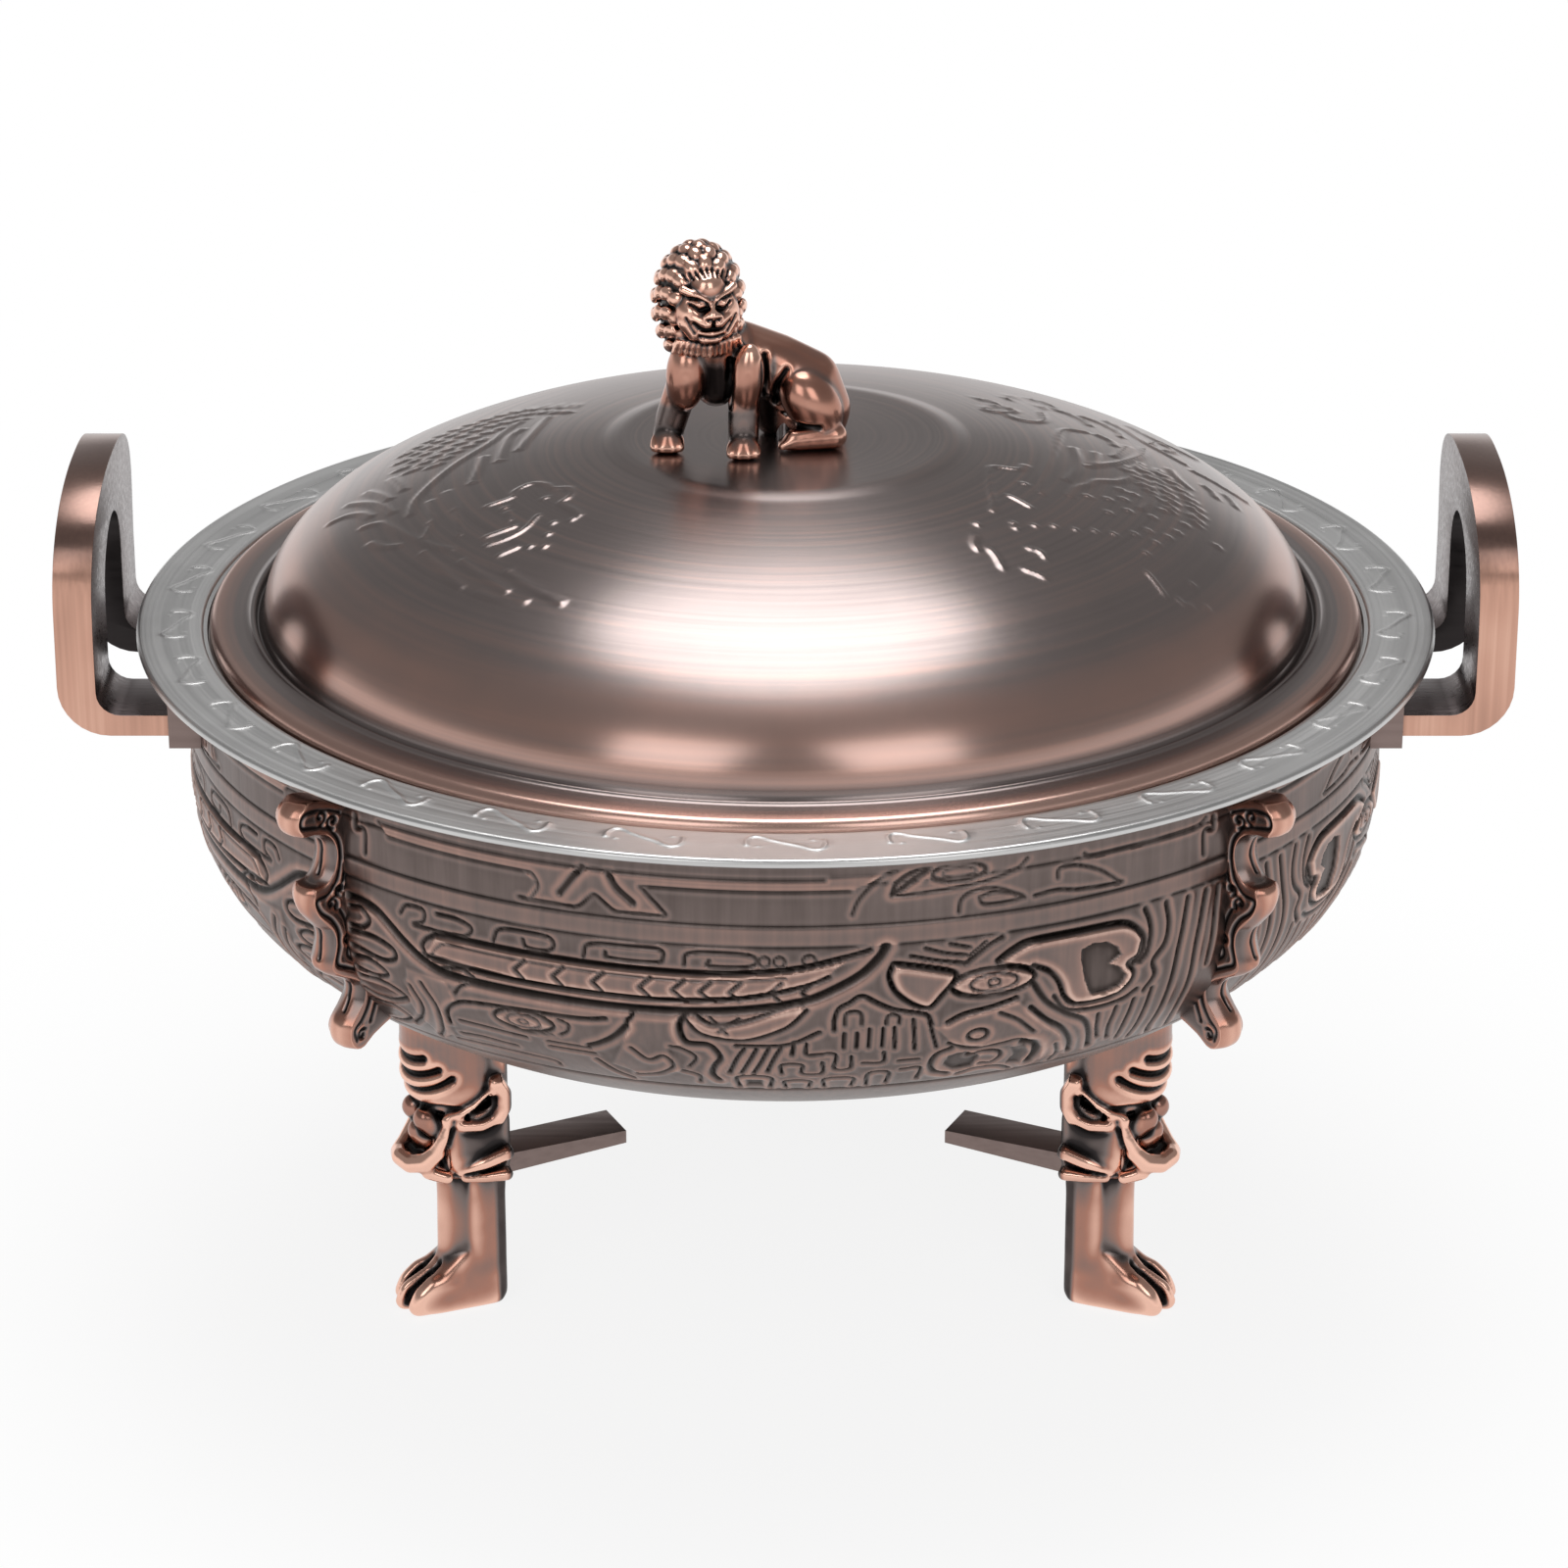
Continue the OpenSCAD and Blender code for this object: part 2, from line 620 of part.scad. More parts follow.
module leg_face() {
    side_y = head_half_w * 0.86;
    for (side = [-1, 1]) {
        // Brow ridge and eye
        leg_form([[6, side * side_y, 25.5, 2.4], [11, side * side_y, 21.5, 2.2],
            [16, side * side_y * 0.8, 19, 2]]);
        leg_form([[2, side * side_y, 26, 2.2], [3, side * side_y, 18.5, 2], [12, side * side_y, 16.8, 1.8]]);
        // Nostril
        leg_form([[21.5, side * 4, 18, 4], [17, side * 4.5, 16.5, 4]], 14);
        // Corner of the upper lip, which flares out
        leg_form([[26.5, side * 3.5, 7.4, 2.3], [20, side * 9, 13.5, 2], [15, side * 10, 4.6, 2.4]], 12);
    }
    // Muzzle and upper lip
    leg_form([[26.5, 0, 9, 2.6], [19, 0, 14, 5], [17, 0, 6, 4]]);
    // Cheeks
    hull() {
        translate([leg_back_r, -head_half_w * 0.86, jaw_z + 3]) cube([1, head_half_w * 1.72, 18]);
        translate([leg_back_r + head_depth * 0.5, 0, jaw_z + 3])
            cylinder(r = head_half_w * 0.82, h = 17, $fn = 20);
    }
    // Jaw band
    hull() {
        translate([leg_back_r, -head_half_w * 0.92, jaw_z - 0.5]) cube([8, head_half_w * 1.84, 4]);
        translate([leg_back_r + head_depth * 0.65, 0, jaw_z + 1.5])
            cylinder(r = head_half_w * 0.6, h = 3, $fn = 16);
    }
}

module leg_shank() {
    half = shank_w / 2;
    front = leg_back_r + shank_depth;
    linear_extrude(shank_top_z)
        polygon([[leg_back_r, -half * 0.55], [leg_back_r + 4, -half], [front, -half], [front, half],
            [leg_back_r + 4, half], [leg_back_r, half * 0.55]]);
    hull() {
        translate([front + 0.8, 0, instep_rise - 4]) cylinder(r = shank_rib_r, h = 1, $fn = 16);
        translate([front - 0.6, 0, shank_top_z]) cylinder(r = shank_rib_r, h = 1, $fn = 16);
    }
}

module leg_foot() {
    half = foot_w / 2;
    hull() {
        translate([leg_back_r + 1.5, -half + 1.5, 0]) cube([shank_depth, foot_w - 3, 3]);
        translate([leg_back_r + 0.5, -shank_w / 2, 3]) cube([shank_depth + 4, shank_w, instep_rise - 3]);
        translate([leg_back_r + foot_len * 0.68, 0, toe_h * 0.62]) sphere(r = toe_h * 0.6, $fn = 14);
    }
    for (toe = [-1, 0, 1]) translate([0, toe * toe_step, 0])
        hull() {
            translate([toe_tip_r - abs(toe) * 1.6, 0, toe_r]) sphere(r = toe_r * 0.95, $fn = 12);
            translate([toe_tip_r - abs(toe) * 1.6, 0, 0]) cylinder(r = toe_r * 0.75, h = 1, $fn = 12);
            translate([leg_back_r + shank_depth, 0, toe_r * 1.4]) sphere(r = toe_r, $fn = 12);
            translate([leg_back_r + shank_depth, 0, 0]) cylinder(r = toe_r * 0.7, h = 1, $fn = 12);
        }
}

// What is cut off behind a leg's flat back and under its foot
leg_cut = 2 * head_depth;

module leg(place) {
    color(bright_copper)
    facing(place)
    difference() {
        union() {
            difference() {
                leg_brow();
                brow_crescents();
            }
            leg_face();
            leg_shank();
            leg_foot();
        }
        bowl_body();
        translate([leg_back_r - leg_cut, -leg_cut, -1]) cube([leg_cut, 2 * leg_cut, rim_z]);
        translate([leg_back_r - leg_cut, -leg_cut, -toe_h]) cube([2 * leg_cut, 2 * leg_cut, toe_h]);
        on_dish(leg_screw_r) screw_hole(big_screw_r, screw_grip + bowl_t);
        stud_bore();
    }
}

// The bore for a burner arm's stud, in the leg's flat back and in the arm's end
module stud_bore() {
    translate([leg_back_r - screw_grip - screw_fit, 0, stud_z]) rotate([0, 90, 0])
        cylinder(r = screw_r + screw_fit, h = 2 * (screw_grip + screw_fit), $fn = 32);
}

module leg_left() leg(leg_places[0]);
module leg_right() leg(leg_places[1]);
module leg_back() leg(leg_places[2]);

leg_screw_seat = bowl_t + 0.2 + washer_t;

module leg_screws() {
    color(zinc)
    for (place = leg_places) facing(place) on_dish(leg_screw_r) translate([0, 0, leg_screw_seat])
        screw(big_screw_r, leg_screw_seat + screw_grip, 3);
}

module leg_washers() {
    color(zinc)
    for (place = leg_places) facing(place) on_dish(leg_screw_r) translate([0, 0, bowl_t + 0.2])
        difference() {
            cylinder(r = washer_r, h = washer_t, $fn = 48);
            translate([0, 0, -1]) cylinder(r = big_screw_r + screw_fit, h = washer_t + 2, $fn = 32);
        }
}

// Burner arms, which taper both ways from the leg to the tip

burner_len = leg_back_r - burner_tip_r;

module burner_arm(place) {
    color(copper)
    facing(place)
    difference() {
        intersection() {
            translate([leg_back_r, 0, burner_z - burner_root_t - 1]) linear_extrude(burner_root_t + 2)
                polygon([[0, -burner_root_w / 2], [0, burner_root_w / 2], [-burner_len, burner_w / 2],
                    [-burner_len, -burner_w / 2]]);
            translate([leg_back_r, burner_w, burner_z]) rotate([90, 0, 0]) linear_extrude(2 * burner_w)
                polygon([[0, 0], [-burner_len, 0], [-burner_len, -burner_t], [0, -burner_root_t]]);
        }
        stud_bore();
    }
}

module burner_arm_left() burner_arm(leg_places[0]);
module burner_arm_right() burner_arm(leg_places[1]);
module burner_arm_back() burner_arm(leg_places[2]);

module arm_studs() {
    color(zinc)
    for (place = leg_places) facing(place)
        translate([leg_back_r - screw_grip, 0, stud_z]) rotate([0, 90, 0])
            cylinder(r = screw_r, h = 2 * screw_grip, $fn = 32);
}

bowl();
food_pan();
lid();
lion_finial();
finial_screw();
finial_washer();
fin_front_left();
fin_front_right();
fin_back_left();
fin_back_right();
fin_screws();
handle_left();
handle_right();
handle_bracket_left();
handle_bracket_right();
handle_screws();
leg_left();
leg_right();
leg_back();
leg_screws();
leg_washers();
burner_arm_left();
burner_arm_right();
burner_arm_back();
arm_studs();
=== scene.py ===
import math
import bmesh
import bpy
import numpy as np
from mathutils import Matrix, Vector


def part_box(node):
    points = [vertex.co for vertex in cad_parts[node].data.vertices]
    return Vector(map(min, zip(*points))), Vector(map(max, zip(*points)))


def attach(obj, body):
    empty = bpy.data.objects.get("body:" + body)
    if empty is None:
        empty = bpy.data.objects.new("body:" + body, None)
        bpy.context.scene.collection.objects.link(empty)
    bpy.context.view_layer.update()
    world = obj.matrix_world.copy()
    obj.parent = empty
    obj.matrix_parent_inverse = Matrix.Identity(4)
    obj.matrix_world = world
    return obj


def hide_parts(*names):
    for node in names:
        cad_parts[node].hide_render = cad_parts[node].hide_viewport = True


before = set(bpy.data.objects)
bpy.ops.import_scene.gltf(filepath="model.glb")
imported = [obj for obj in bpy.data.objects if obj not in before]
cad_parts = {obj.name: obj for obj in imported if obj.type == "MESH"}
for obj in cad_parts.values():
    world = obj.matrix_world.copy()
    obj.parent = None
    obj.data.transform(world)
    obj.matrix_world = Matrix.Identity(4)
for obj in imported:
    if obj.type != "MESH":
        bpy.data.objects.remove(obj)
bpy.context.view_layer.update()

# A round chafing dish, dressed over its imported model. Shapes are worked in millimetres and become metres
# when a piece is finished. The bowl's middle stands at the origin and the front looks along -Y.
MM = 0.001


def box_end(node_name, end, axis):
    """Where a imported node's box ends along an axis: 0 for its low end and 1 for its high end"""
    return round(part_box(node_name)[end][axis] / MM, 2)


LOW, HIGH = 0, 1
X, Y, Z = 0, 1, 2
RIM_Z = box_end("food_pan", HIGH, Z)
LIP_R = 1.3
BOWL_TOP = box_end("bowl", HIGH, Z)
BOWL_R = 155.0
BOWL_T = 1.5
BOWL_UPRIGHT = 40.3
BOWL_DISH = 57.5
BOWL_FULLNESS = 2.16
BOWL_FOOT = RIM_Z - BOWL_UPRIGHT - BOWL_DISH
BOWL_COLUMNS = 440
FLAME_R = 57.0
FIN_PLACES = {"front_left": -45, "front_right": 45, "back_left": -135, "back_right": 135}
LEG_PLACES = {"left": -65, "right": 65, "back": 180}
HANDLE_SIDES = ("left", "right")
LEG_BACK_R = box_end("leg_back", LOW, Y)
PAN_RIM_R = box_end("food_pan", HIGH, X)
PAN_OPEN_R = 150.8
DOME_R = 135.2
LID_EDGE_R = box_end("lid", HIGH, X)
LID_EDGE_Z = box_end("lid", LOW, Z)
LID_T = 1.2
FLANGE_Z = 185.6
DOME_H = 45.4
DOME_FULLNESS = 2.05
BOSS_R = 44.6
BOSS_STEP = 0.8


# Strokes and outlines

def points(text):
    """Points written as 'x,y x,y ...'"""
    return np.array([[float(n) for n in p.split(",")] for p in text.split()])


def curved(p, steps=5, closed=False):
    """A smooth curve through the points p"""
    p = np.asarray(p, float)
    if len(p) < 3 and not closed:
        return p
    if closed:
        q = np.vstack([p[-1], p, p[0], p[1]])
    else:
        q = np.vstack([2 * p[0] - p[1], p, 2 * p[-1] - p[-2]])
    t = np.linspace(0, 1, steps, endpoint=False)[:, None]
    out = []
    for a, b, c, d in zip(q[:-3], q[1:-2], q[2:-1], q[3:]):
        out.append(0.5 * (2 * b + (c - a) * t + (2 * a - 5 * b + 4 * c - d) * t ** 2
                          + (3 * b - a - 3 * c + d) * t ** 3))
    out.append(q[-2:-1] if not closed else q[1:2])
    return np.vstack(out)


def ellipse(x, y, a, b, steps=20):
    """A closed path round (x, y) with the half axes a and b"""
    t = np.linspace(0, 2 * math.pi, steps + 1)
    return np.stack([x + a * np.cos(t), y + b * np.sin(t)], 1)


def spiral(x, y, r, turns, start, hand=1, steps=28):
    """A path that winds out of (x, y) to the radius r"""
    t = np.linspace(0.12, 1, steps)
    a = math.radians(start) + hand * t * turns * 2 * math.pi
    return np.stack([x + r * t * np.cos(a), y + r * t * np.sin(a)], 1)


def away(x, y, path):
    """Distance of the points (x, y) from a path"""
    best = np.full(len(x), 1e9)
    for a, b in zip(path[:-1], path[1:]):
        d = b - a
        t = np.clip(((x - a[0]) * d[0] + (y - a[1]) * d[1]) / max(d @ d, 1e-12), 0, 1)
        best = np.minimum(best, np.hypot(x - a[0] - t * d[0], y - a[1] - t * d[1]))
    return best


def mark(x, y):
    """A path so short that it is a dot"""
    return np.array([(x, y), (x + 0.1, y)])


def inside(x, y, ring):
    """True for the points (x, y) within a closed ring"""
    hit = np.zeros(len(x), bool)
    for (x0, y0), (x1, y1) in zip(ring, np.roll(ring, -1, 0)):
        if y0 != y1:
            hit ^= ((y0 > y) != (y1 > y)) & (x < (x1 - x0) * (y - y0) / (y1 - y0) + x0)
    return hit


def depth_within(x, y, ring):
    """Distance of the points (x, y) from a closed ring, negative outside it"""
    d = away(x, y, np.vstack([ring, ring[:1]]))
    return np.where(inside(x, y, ring), d, -d)


def ramp(v, low, high):
    """0 up to low, 1 from high, smooth between them"""
    t = np.clip((v - low) / (high - low), 0, 1)
    return t * t * (3 - 2 * t)


class Relief:
    """The height of a pressed or carved pattern over the points (x, y)"""

    def __init__(self, x, y):
        self.x, self.y = x, y
        self.ground = np.zeros(len(x))
        self.cut = np.zeros(len(x))
        self.lip = np.zeros(len(x))

    def near(self, path, reach):
        """The points in the box round a path"""
        lo, hi = path.min(0) - reach, path.max(0) + reach
        return np.nonzero((self.x > lo[0]) & (self.x < hi[0]) & (self.y > lo[1]) & (self.y < hi[1]))[0]

    def groove(self, path, width, depth, lip):
        """A sunk line with a soft bank on each side"""
        m = self.near(path, width * 6)
        d = away(self.x[m], self.y[m], path)
        self.cut[m] = np.maximum(self.cut[m], depth * np.exp(-(d / width) ** 2))
        self.lip[m] = np.maximum(self.lip[m], lip * np.exp(-((d - width * 2.4) / (width * 1.5)) ** 2))

    def ridge(self, path, width, height):
        m = self.near(path, width * 3)
        d = away(self.x[m], self.y[m], path)
        self.lip[m] = np.maximum(self.lip[m], height * np.exp(-(d / width) ** 2))

    def pad(self, ring, height, soft=0.8):
        """A field within a closed ring that stands out, or lies deep where the height is negative"""
        m = self.near(ring, soft * 2)
        self.ground[m] += height * ramp(depth_within(self.x[m], self.y[m], ring), -soft / 2, soft / 2)

    def height(self):
        """The whole pattern. A groove cuts through the banks and ridges that it crosses."""
        return self.ground + self.lip * (1 - np.clip(self.cut / 0.35, 0, 1)) - self.cut


# Meshes

def mesh_of(bm, name="work"):
    mesh = bpy.data.meshes.new(name)
    bm.to_mesh(mesh)
    bm.free()
    return mesh


def triples(items, what):
    values = np.empty(len(items) * 3, np.float32)
    items.foreach_get(what, values)
    return values.reshape(-1, 3).astype(float)


def places(mesh):
    return triples(mesh.vertices, "co")


def normals(mesh):
    return triples(mesh.vertex_normals, "vector")


def move(mesh, p):
    mesh.vertices.foreach_set("co", np.ascontiguousarray(p, np.float32).ravel())
    mesh.update()


def softened(mesh, v, rounds):
    """Values at the vertices, each evened with its neighbours"""
    e = np.empty(len(mesh.edges) * 2, np.int32)
    mesh.edges.foreach_get("vertices", e)
    a, b = e.reshape(-1, 2).T
    n = len(mesh.vertices)
    share = np.maximum(np.bincount(a, minlength=n) + np.bincount(b, minlength=n), 1)
    v = v.copy()
    for _ in range(rounds):
        for k in range(v.shape[1]):
            near = np.bincount(a, v[b, k], n) + np.bincount(b, v[a, k], n)
            v[:, k] = (v[:, k] + near / share) / 2
    return v


def set_tone(mesh, tone):
    """How worn the patina is at each vertex, from 0 in a dark recess to 1 on a rubbed edge, with painted shade
    and painted highlight added to it in places
    """
    layer = mesh.attributes.get("tone") or mesh.attributes.new("tone", "FLOAT", "POINT")
    layer.data.foreach_set("value", np.clip(tone, 0, 1).astype(np.float32))


def tone_of(mesh):
    tone = np.empty(len(mesh.vertices), np.float32)
    mesh.attributes["tone"].data.foreach_get("value", tone)
    return tone.astype(float)


FINE_SWELL = 0.4
BROAD_SWELL = 1.4


def tone_from_form(mesh, fine, broad, base, fine_rounds, broad_rounds):
    """Dark where the form is hollow and bright where it stands out. By fine detail this is the patina kept in
    hollows and rubbed off edges; by broad swells it is painted shade in broad hollows and painted highlight on
    swells
    """
    p, n = places(mesh), normals(mesh)
    near = ((softened(mesh, p, fine_rounds) - p) * n).sum(1)
    # The broad term paints shade into broad hollows and a highlight onto broad swells
    far = ((softened(mesh, p, broad_rounds) - p) * n).sum(1)
    tone = base - fine * near / FINE_SWELL - broad * far / BROAD_SWELL
    set_tone(mesh, softened(mesh, tone[:, None], 1)[:, 0])


def finished(name, mesh, body, material, replaced=(), crease=None):
    """Turns a mesh in millimetres into a piece that rides on a body"""
    mesh.name = name
    mesh.transform(Matrix.Scale(MM, 4))
    mesh.materials.clear()
    mesh.materials.append(material)
    mesh.shade_smooth()
    if crease:
        mesh.set_sharp_from_angle(angle=math.radians(crease))
    obj = bpy.data.objects.new(name, mesh)
    bpy.context.collection.objects.link(obj)
    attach(obj, body)
    if replaced:
        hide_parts(*replaced)
    return obj


def turned_copy(mesh, place):
    """A copy of a mesh that was made along +X, turned to a direction in degrees from the front"""
    copy = mesh.copy()
    copy.transform(Matrix.Rotation(math.radians(place - 90), 4, "Z"))
    return copy


def unit_steps(path):
    """The direction of a path at each of its points"""
    ahead = np.gradient(path, axis=0)
    return ahead / np.maximum(np.linalg.norm(ahead, axis=1, keepdims=True), 1e-9)


def azimuth_grid(azimuths, profile, closed, relief, tone=None):
    """A surface of revolution over azimuths in radians and a profile of (radius, height) rows. The relief is
    added square to the profile, on the left of its run. closed tells whether it goes all the way round."""
    columns, rows = len(azimuths), len(profile)
    bm = bmesh.new()
    bmesh.ops.create_grid(bm, x_segments=columns - 1, y_segments=rows - 1, size=1)
    mesh = mesh_of(bm)
    flat = places(mesh)
    i = np.rint((flat[:, 0] + 1) / 2 * (columns - 1)).astype(int)
    j = np.rint((flat[:, 1] + 1) / 2 * (rows - 1)).astype(int)
    ahead = unit_steps(profile)
    r = profile[j, 0] - ahead[j, 1] * relief[i, j]
    z = profile[j, 1] + ahead[j, 0] * relief[i, j]
    a = azimuths[i]
    move(mesh, np.stack([r * np.sin(a), -r * np.cos(a), z], 1))
    set_tone(mesh, np.full(len(i), 0.5) if tone is None else tone[i, j])
    bm = bmesh.new()
    bm.from_mesh(mesh)
    bmesh.ops.remove_doubles(bm, verts=bm.verts, dist=0.002)
    if not closed:
        bmesh.ops.holes_fill(bm, edges=[e for e in bm.edges if e.is_boundary], sides=0)
    bmesh.ops.recalc_face_normals(bm, faces=bm.faces)
    bm.to_mesh(mesh)
    bm.free()
    return mesh


def run_of(path):
    """The length of a path up to each of its points"""
    return np.r_[0, np.cumsum(np.hypot(*np.diff(path, axis=0).T))]


def at_runs(path, runs):
    """The points of a path at the given lengths from its start"""
    length = run_of(path)
    return np.stack([np.interp(runs, length, path[:, 0]), np.interp(runs, length, path[:, 1])], 1)


def resampled(path, spacing):
    """The path with a point every `spacing` mm and at its end"""
    full = run_of(path)[-1]
    runs, run = [0.0], 0.0
    while run < full:
        run += spacing
        runs.append(min(run, full))
    return at_runs(path, np.array(runs))


def arc(cx, cy, r, a, b, n):
    """An arc round (cx, cy) in n steps, from a to b degrees"""
    t = np.radians(np.linspace(a, b, n + 1))
    return np.stack([cx + r * np.cos(t), cy + r * np.sin(t)], 1)


# Balls, limbs and forms that are fused into one cast piece

def add_form(bm, balls, detail=2):
    """One rounded form stretched over balls of (x, y, z, radius)"""
    part = bmesh.new()
    for *at, r in balls:
        bmesh.ops.create_icosphere(part, subdivisions=detail, radius=r, matrix=Matrix.Translation(at))
    if len(balls) > 1:
        bmesh.ops.delete(part, geom=part.edges[:], context="EDGES_FACES")
        found = bmesh.ops.convex_hull(part, input=part.verts[:])
        unused = found["geom_interior"] + found["geom_unused"]
        loose = [g for g in unused if isinstance(g, bmesh.types.BMVert)]
        bmesh.ops.delete(part, geom=list(set(loose)), context="VERTS")
    add_mesh(bm, part)


def add_roll(bm, balls, detail=3):
    """A rounded roll that runs from ball to ball"""
    for pair in zip(balls[:-1], balls[1:]):
        add_form(bm, pair, detail)


def on_side(side, *balls):
    """Balls of (x, y, z, radius), on the other side of the middle where side is -1"""
    return [(x, side * y, z, r) for x, y, z, r in balls]


def both_sides(*balls):
    """Each ball of (x, y, z, radius) on both sides of the middle"""
    return [on_side(side, ball)[0] for ball in balls for side in (-1, 1)]


def add_mesh(bm, part):
    mesh = mesh_of(part)
    bm.from_mesh(mesh)
    bpy.data.meshes.remove(mesh)


def add_block(bm, lo, hi, rounding):
    """A block between two corners with rounded edges"""
    part = bmesh.new()
    size = Vector(hi) - Vector(lo)
    middle = (Vector(lo) + Vector(hi)) / 2
    bmesh.ops.create_cube(part, size=1, matrix=Matrix.Translation(middle) @ Matrix.Diagonal((*size, 1)))
    bmesh.ops.bevel(part, geom=part.edges[:], offset=rounding, segments=3, profile=0.5, affect="EDGES",
                    material=-1)
    add_mesh(bm, part)


def add_curl(bm, at, normal, out, size):
    """A flat rounded lobe at a point, with its length along `out` and its thickness along `normal`"""
    normal = Vector(normal).normalized()
    out = Vector(out)
    out = (out - normal * out.dot(normal)).normalized()
    side = normal.cross(out)
    turn = Matrix((side, out, normal)).transposed().to_4x4()
    bmesh.ops.create_icosphere(bm, subdivisions=2, radius=1, matrix=Matrix.Translation(at) @ turn
                               @ Matrix.Diagonal((*size, 1)))


def fused(bm, voxel, rounds):
    """Melts overlapping forms into one closed skin and evens it"""
    obj = bpy.data.objects.new("fuse", mesh_of(bm))
    bpy.context.collection.objects.link(obj)
    melt = obj.modifiers.new("melt", "REMESH")
    melt.mode = "VOXEL"
    melt.voxel_size = voxel
    soft = obj.modifiers.new("soft", "SMOOTH")
    soft.factor = 0.5
    soft.iterations = rounds
    graph = bpy.context.evaluated_depsgraph_get()
    mesh = bpy.data.meshes.new_from_object(obj.evaluated_get(graph))
    old = obj.data
    bpy.data.objects.remove(obj)
    bpy.data.meshes.remove(old)
    return mesh


def drawn_on(mesh, path, reach, facing, keep=None, wrap=None):
    """The vertices near a path, their places in its drawing, their normals and how squarely they face it. The
    drawing lies across `facing`, or is rolled round the upright line wrap = (x, y, radius)."""
    p, n = places(mesh), normals(mesh)
    if wrap:
        x0, y0, radius = wrap
        angle = np.arctan2(p[:, 1] - y0, p[:, 0] - x0)
        x, y = radius * angle, p[:, 2]
        square = n[:, 0] * np.cos(angle) + n[:, 1] * np.sin(angle)
    else:
        facing = np.array(facing, float)
        across = [k for k in range(3) if k != int(np.argmax(np.abs(facing)))]
        x, y = p[:, across[0]], p[:, across[1]]
        square = n @ facing
    lo, hi = path.min(0) - reach, path.max(0) + reach
    m = (x > lo[0]) & (x < hi[0]) & (y > lo[1]) & (y < hi[1]) & (square > 0.05)
    if keep is not None:
        m &= keep(p)
    m = np.nonzero(m)[0]
    return p, n, m, x[m], y[m], ramp(square[m], 0.05, 0.35)


def carve(mesh, path, facing, width, depth, lip=0.0, keep=None, wrap=None):
    """Sinks a stroke into the skin where `keep` allows it. The path is drawn in the plane across `facing`:
    (y, z) for a piece seen along X, (x, z) along Y and (x, y) along Z."""
    p, n, m, x, y, square = drawn_on(mesh, path, width * 4, facing, keep, wrap)
    if len(m):
        d = away(x, y, path)
        cut = -depth * np.exp(-(d / width) ** 2) + lip * np.exp(-((d - 2 * width) / width) ** 2)
        p[m] += n[m] * (cut * square)[:, None]
        move(mesh, p)


def sink(mesh, ring, facing, depth, soft):
    """Lowers the skin within a closed ring, drawn as in carve"""
    p, n, m, x, y, square = drawn_on(mesh, ring, soft, facing)
    if len(m):
        share = ramp(depth_within(x, y, ring), -soft / 2, soft / 2)
        p[m] -= n[m] * (depth * share * square)[:, None]
        move(mesh, p)


def merged_copy(node):
    """A CAD node's mesh in millimetres, merged and with its flat faces whole"""
    bm = bmesh.new()
    bm.from_mesh(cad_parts[node].data)
    bmesh.ops.scale(bm, vec=(1 / MM,) * 3, verts=bm.verts)
    bmesh.ops.remove_doubles(bm, verts=bm.verts, dist=0.002)
    bmesh.ops.dissolve_limit(bm, angle_limit=math.radians(1), verts=bm.verts, edges=bm.edges)
    return bm


# Materials

def new_material(name):
    material = bpy.data.materials.new(name)
    material.use_nodes = True
    tree = material.node_tree
    return material, tree, tree.nodes["Principled BSDF"]


def node(tree, kind, **values):
    """A node with its properties set by name and its inputs by index as in0, in1, ..."""
    made = tree.nodes.new(kind)
    for key, value in values.items():
        if key.startswith("in") and key[2:].isdigit():
            socket = made.inputs[int(key[2:])]
            if isinstance(value, bpy.types.NodeSocket):
                tree.links.new(value, socket)
            else:
                socket.default_value = value
        else:
            setattr(made, key, value)
    return made


def math_node(tree, operation, a, b=0.0, clamp=False):
    return node(tree, "ShaderNodeMath", operation=operation, use_clamp=clamp, in0=a, in1=b).outputs[0]


def piece_place(tree):
    """The piece's own coordinates in metres"""
    return node(tree, "ShaderNodeTexCoord").outputs["Object"]


def mixed(tree, factor, a, b):
    """A colour between a and b"""
    made = node(tree, "ShaderNodeMix", data_type="RGBA", clamp_factor=True)
    for socket, value in ((made.inputs[0], factor), (made.inputs[6], a), (made.inputs[7], b)):
        if isinstance(value, bpy.types.NodeSocket):
            tree.links.new(value, socket)
        else:
            socket.default_value = value if isinstance(value, float) else (*value, 1)
    return made.outputs[2]


def ramp_node(tree, factor, stops):
    made = node(tree, "ShaderNodeValToRGB", in0=factor)
    elements = made.color_ramp.elements
    while len(elements) < len(stops):
        elements.new(0.5)
    for element, (at, colour) in zip(elements, stops):
        element.position = at
        element.color = (*colour, 1)
    return made.outputs[0]


def brushed_noise(tree, stretch, detail=2.0):
    """Noise over the piece's own coordinates, stretched by three scales"""
    mapping = node(tree, "ShaderNodeMapping", in0=piece_place(tree))
    mapping.inputs["Scale"].default_value = stretch
    made = node(tree, "ShaderNodeTexNoise", in0=mapping.outputs[0])
    made.inputs["Scale"].default_value = 1.0
    made.inputs["Detail"].default_value = detail
    made.inputs["Roughness"].default_value = 0.5
    return made.outputs[0]


def ring_noise(tree, fine, slow):
    """Noise of a spun piece: fine across the radius and the height, slow along the turn"""
    split = node(tree, "ShaderNodeSeparateXYZ", in0=piece_place(tree))
    square = math_node(tree, "ADD", math_node(tree, "POWER", split.outputs[0], 2.0),
                       math_node(tree, "POWER", split.outputs[1], 2.0))
    radius = math_node(tree, "MULTIPLY", math_node(tree, "SQRT", square), fine)
    height = math_node(tree, "MULTIPLY", split.outputs[2], fine)
    run = node(tree, "ShaderNodeCombineXYZ", in0=math_node(tree, "ADD", radius, height),
               in1=math_node(tree, "MULTIPLY", split.outputs[0], slow),
               in2=math_node(tree, "MULTIPLY", split.outputs[1], slow))
    made = node(tree, "ShaderNodeTexNoise", in0=run.outputs[0])
    made.inputs["Scale"].default_value = 1.0
    made.inputs["Detail"].default_value = 3.0
    return made.outputs[0]


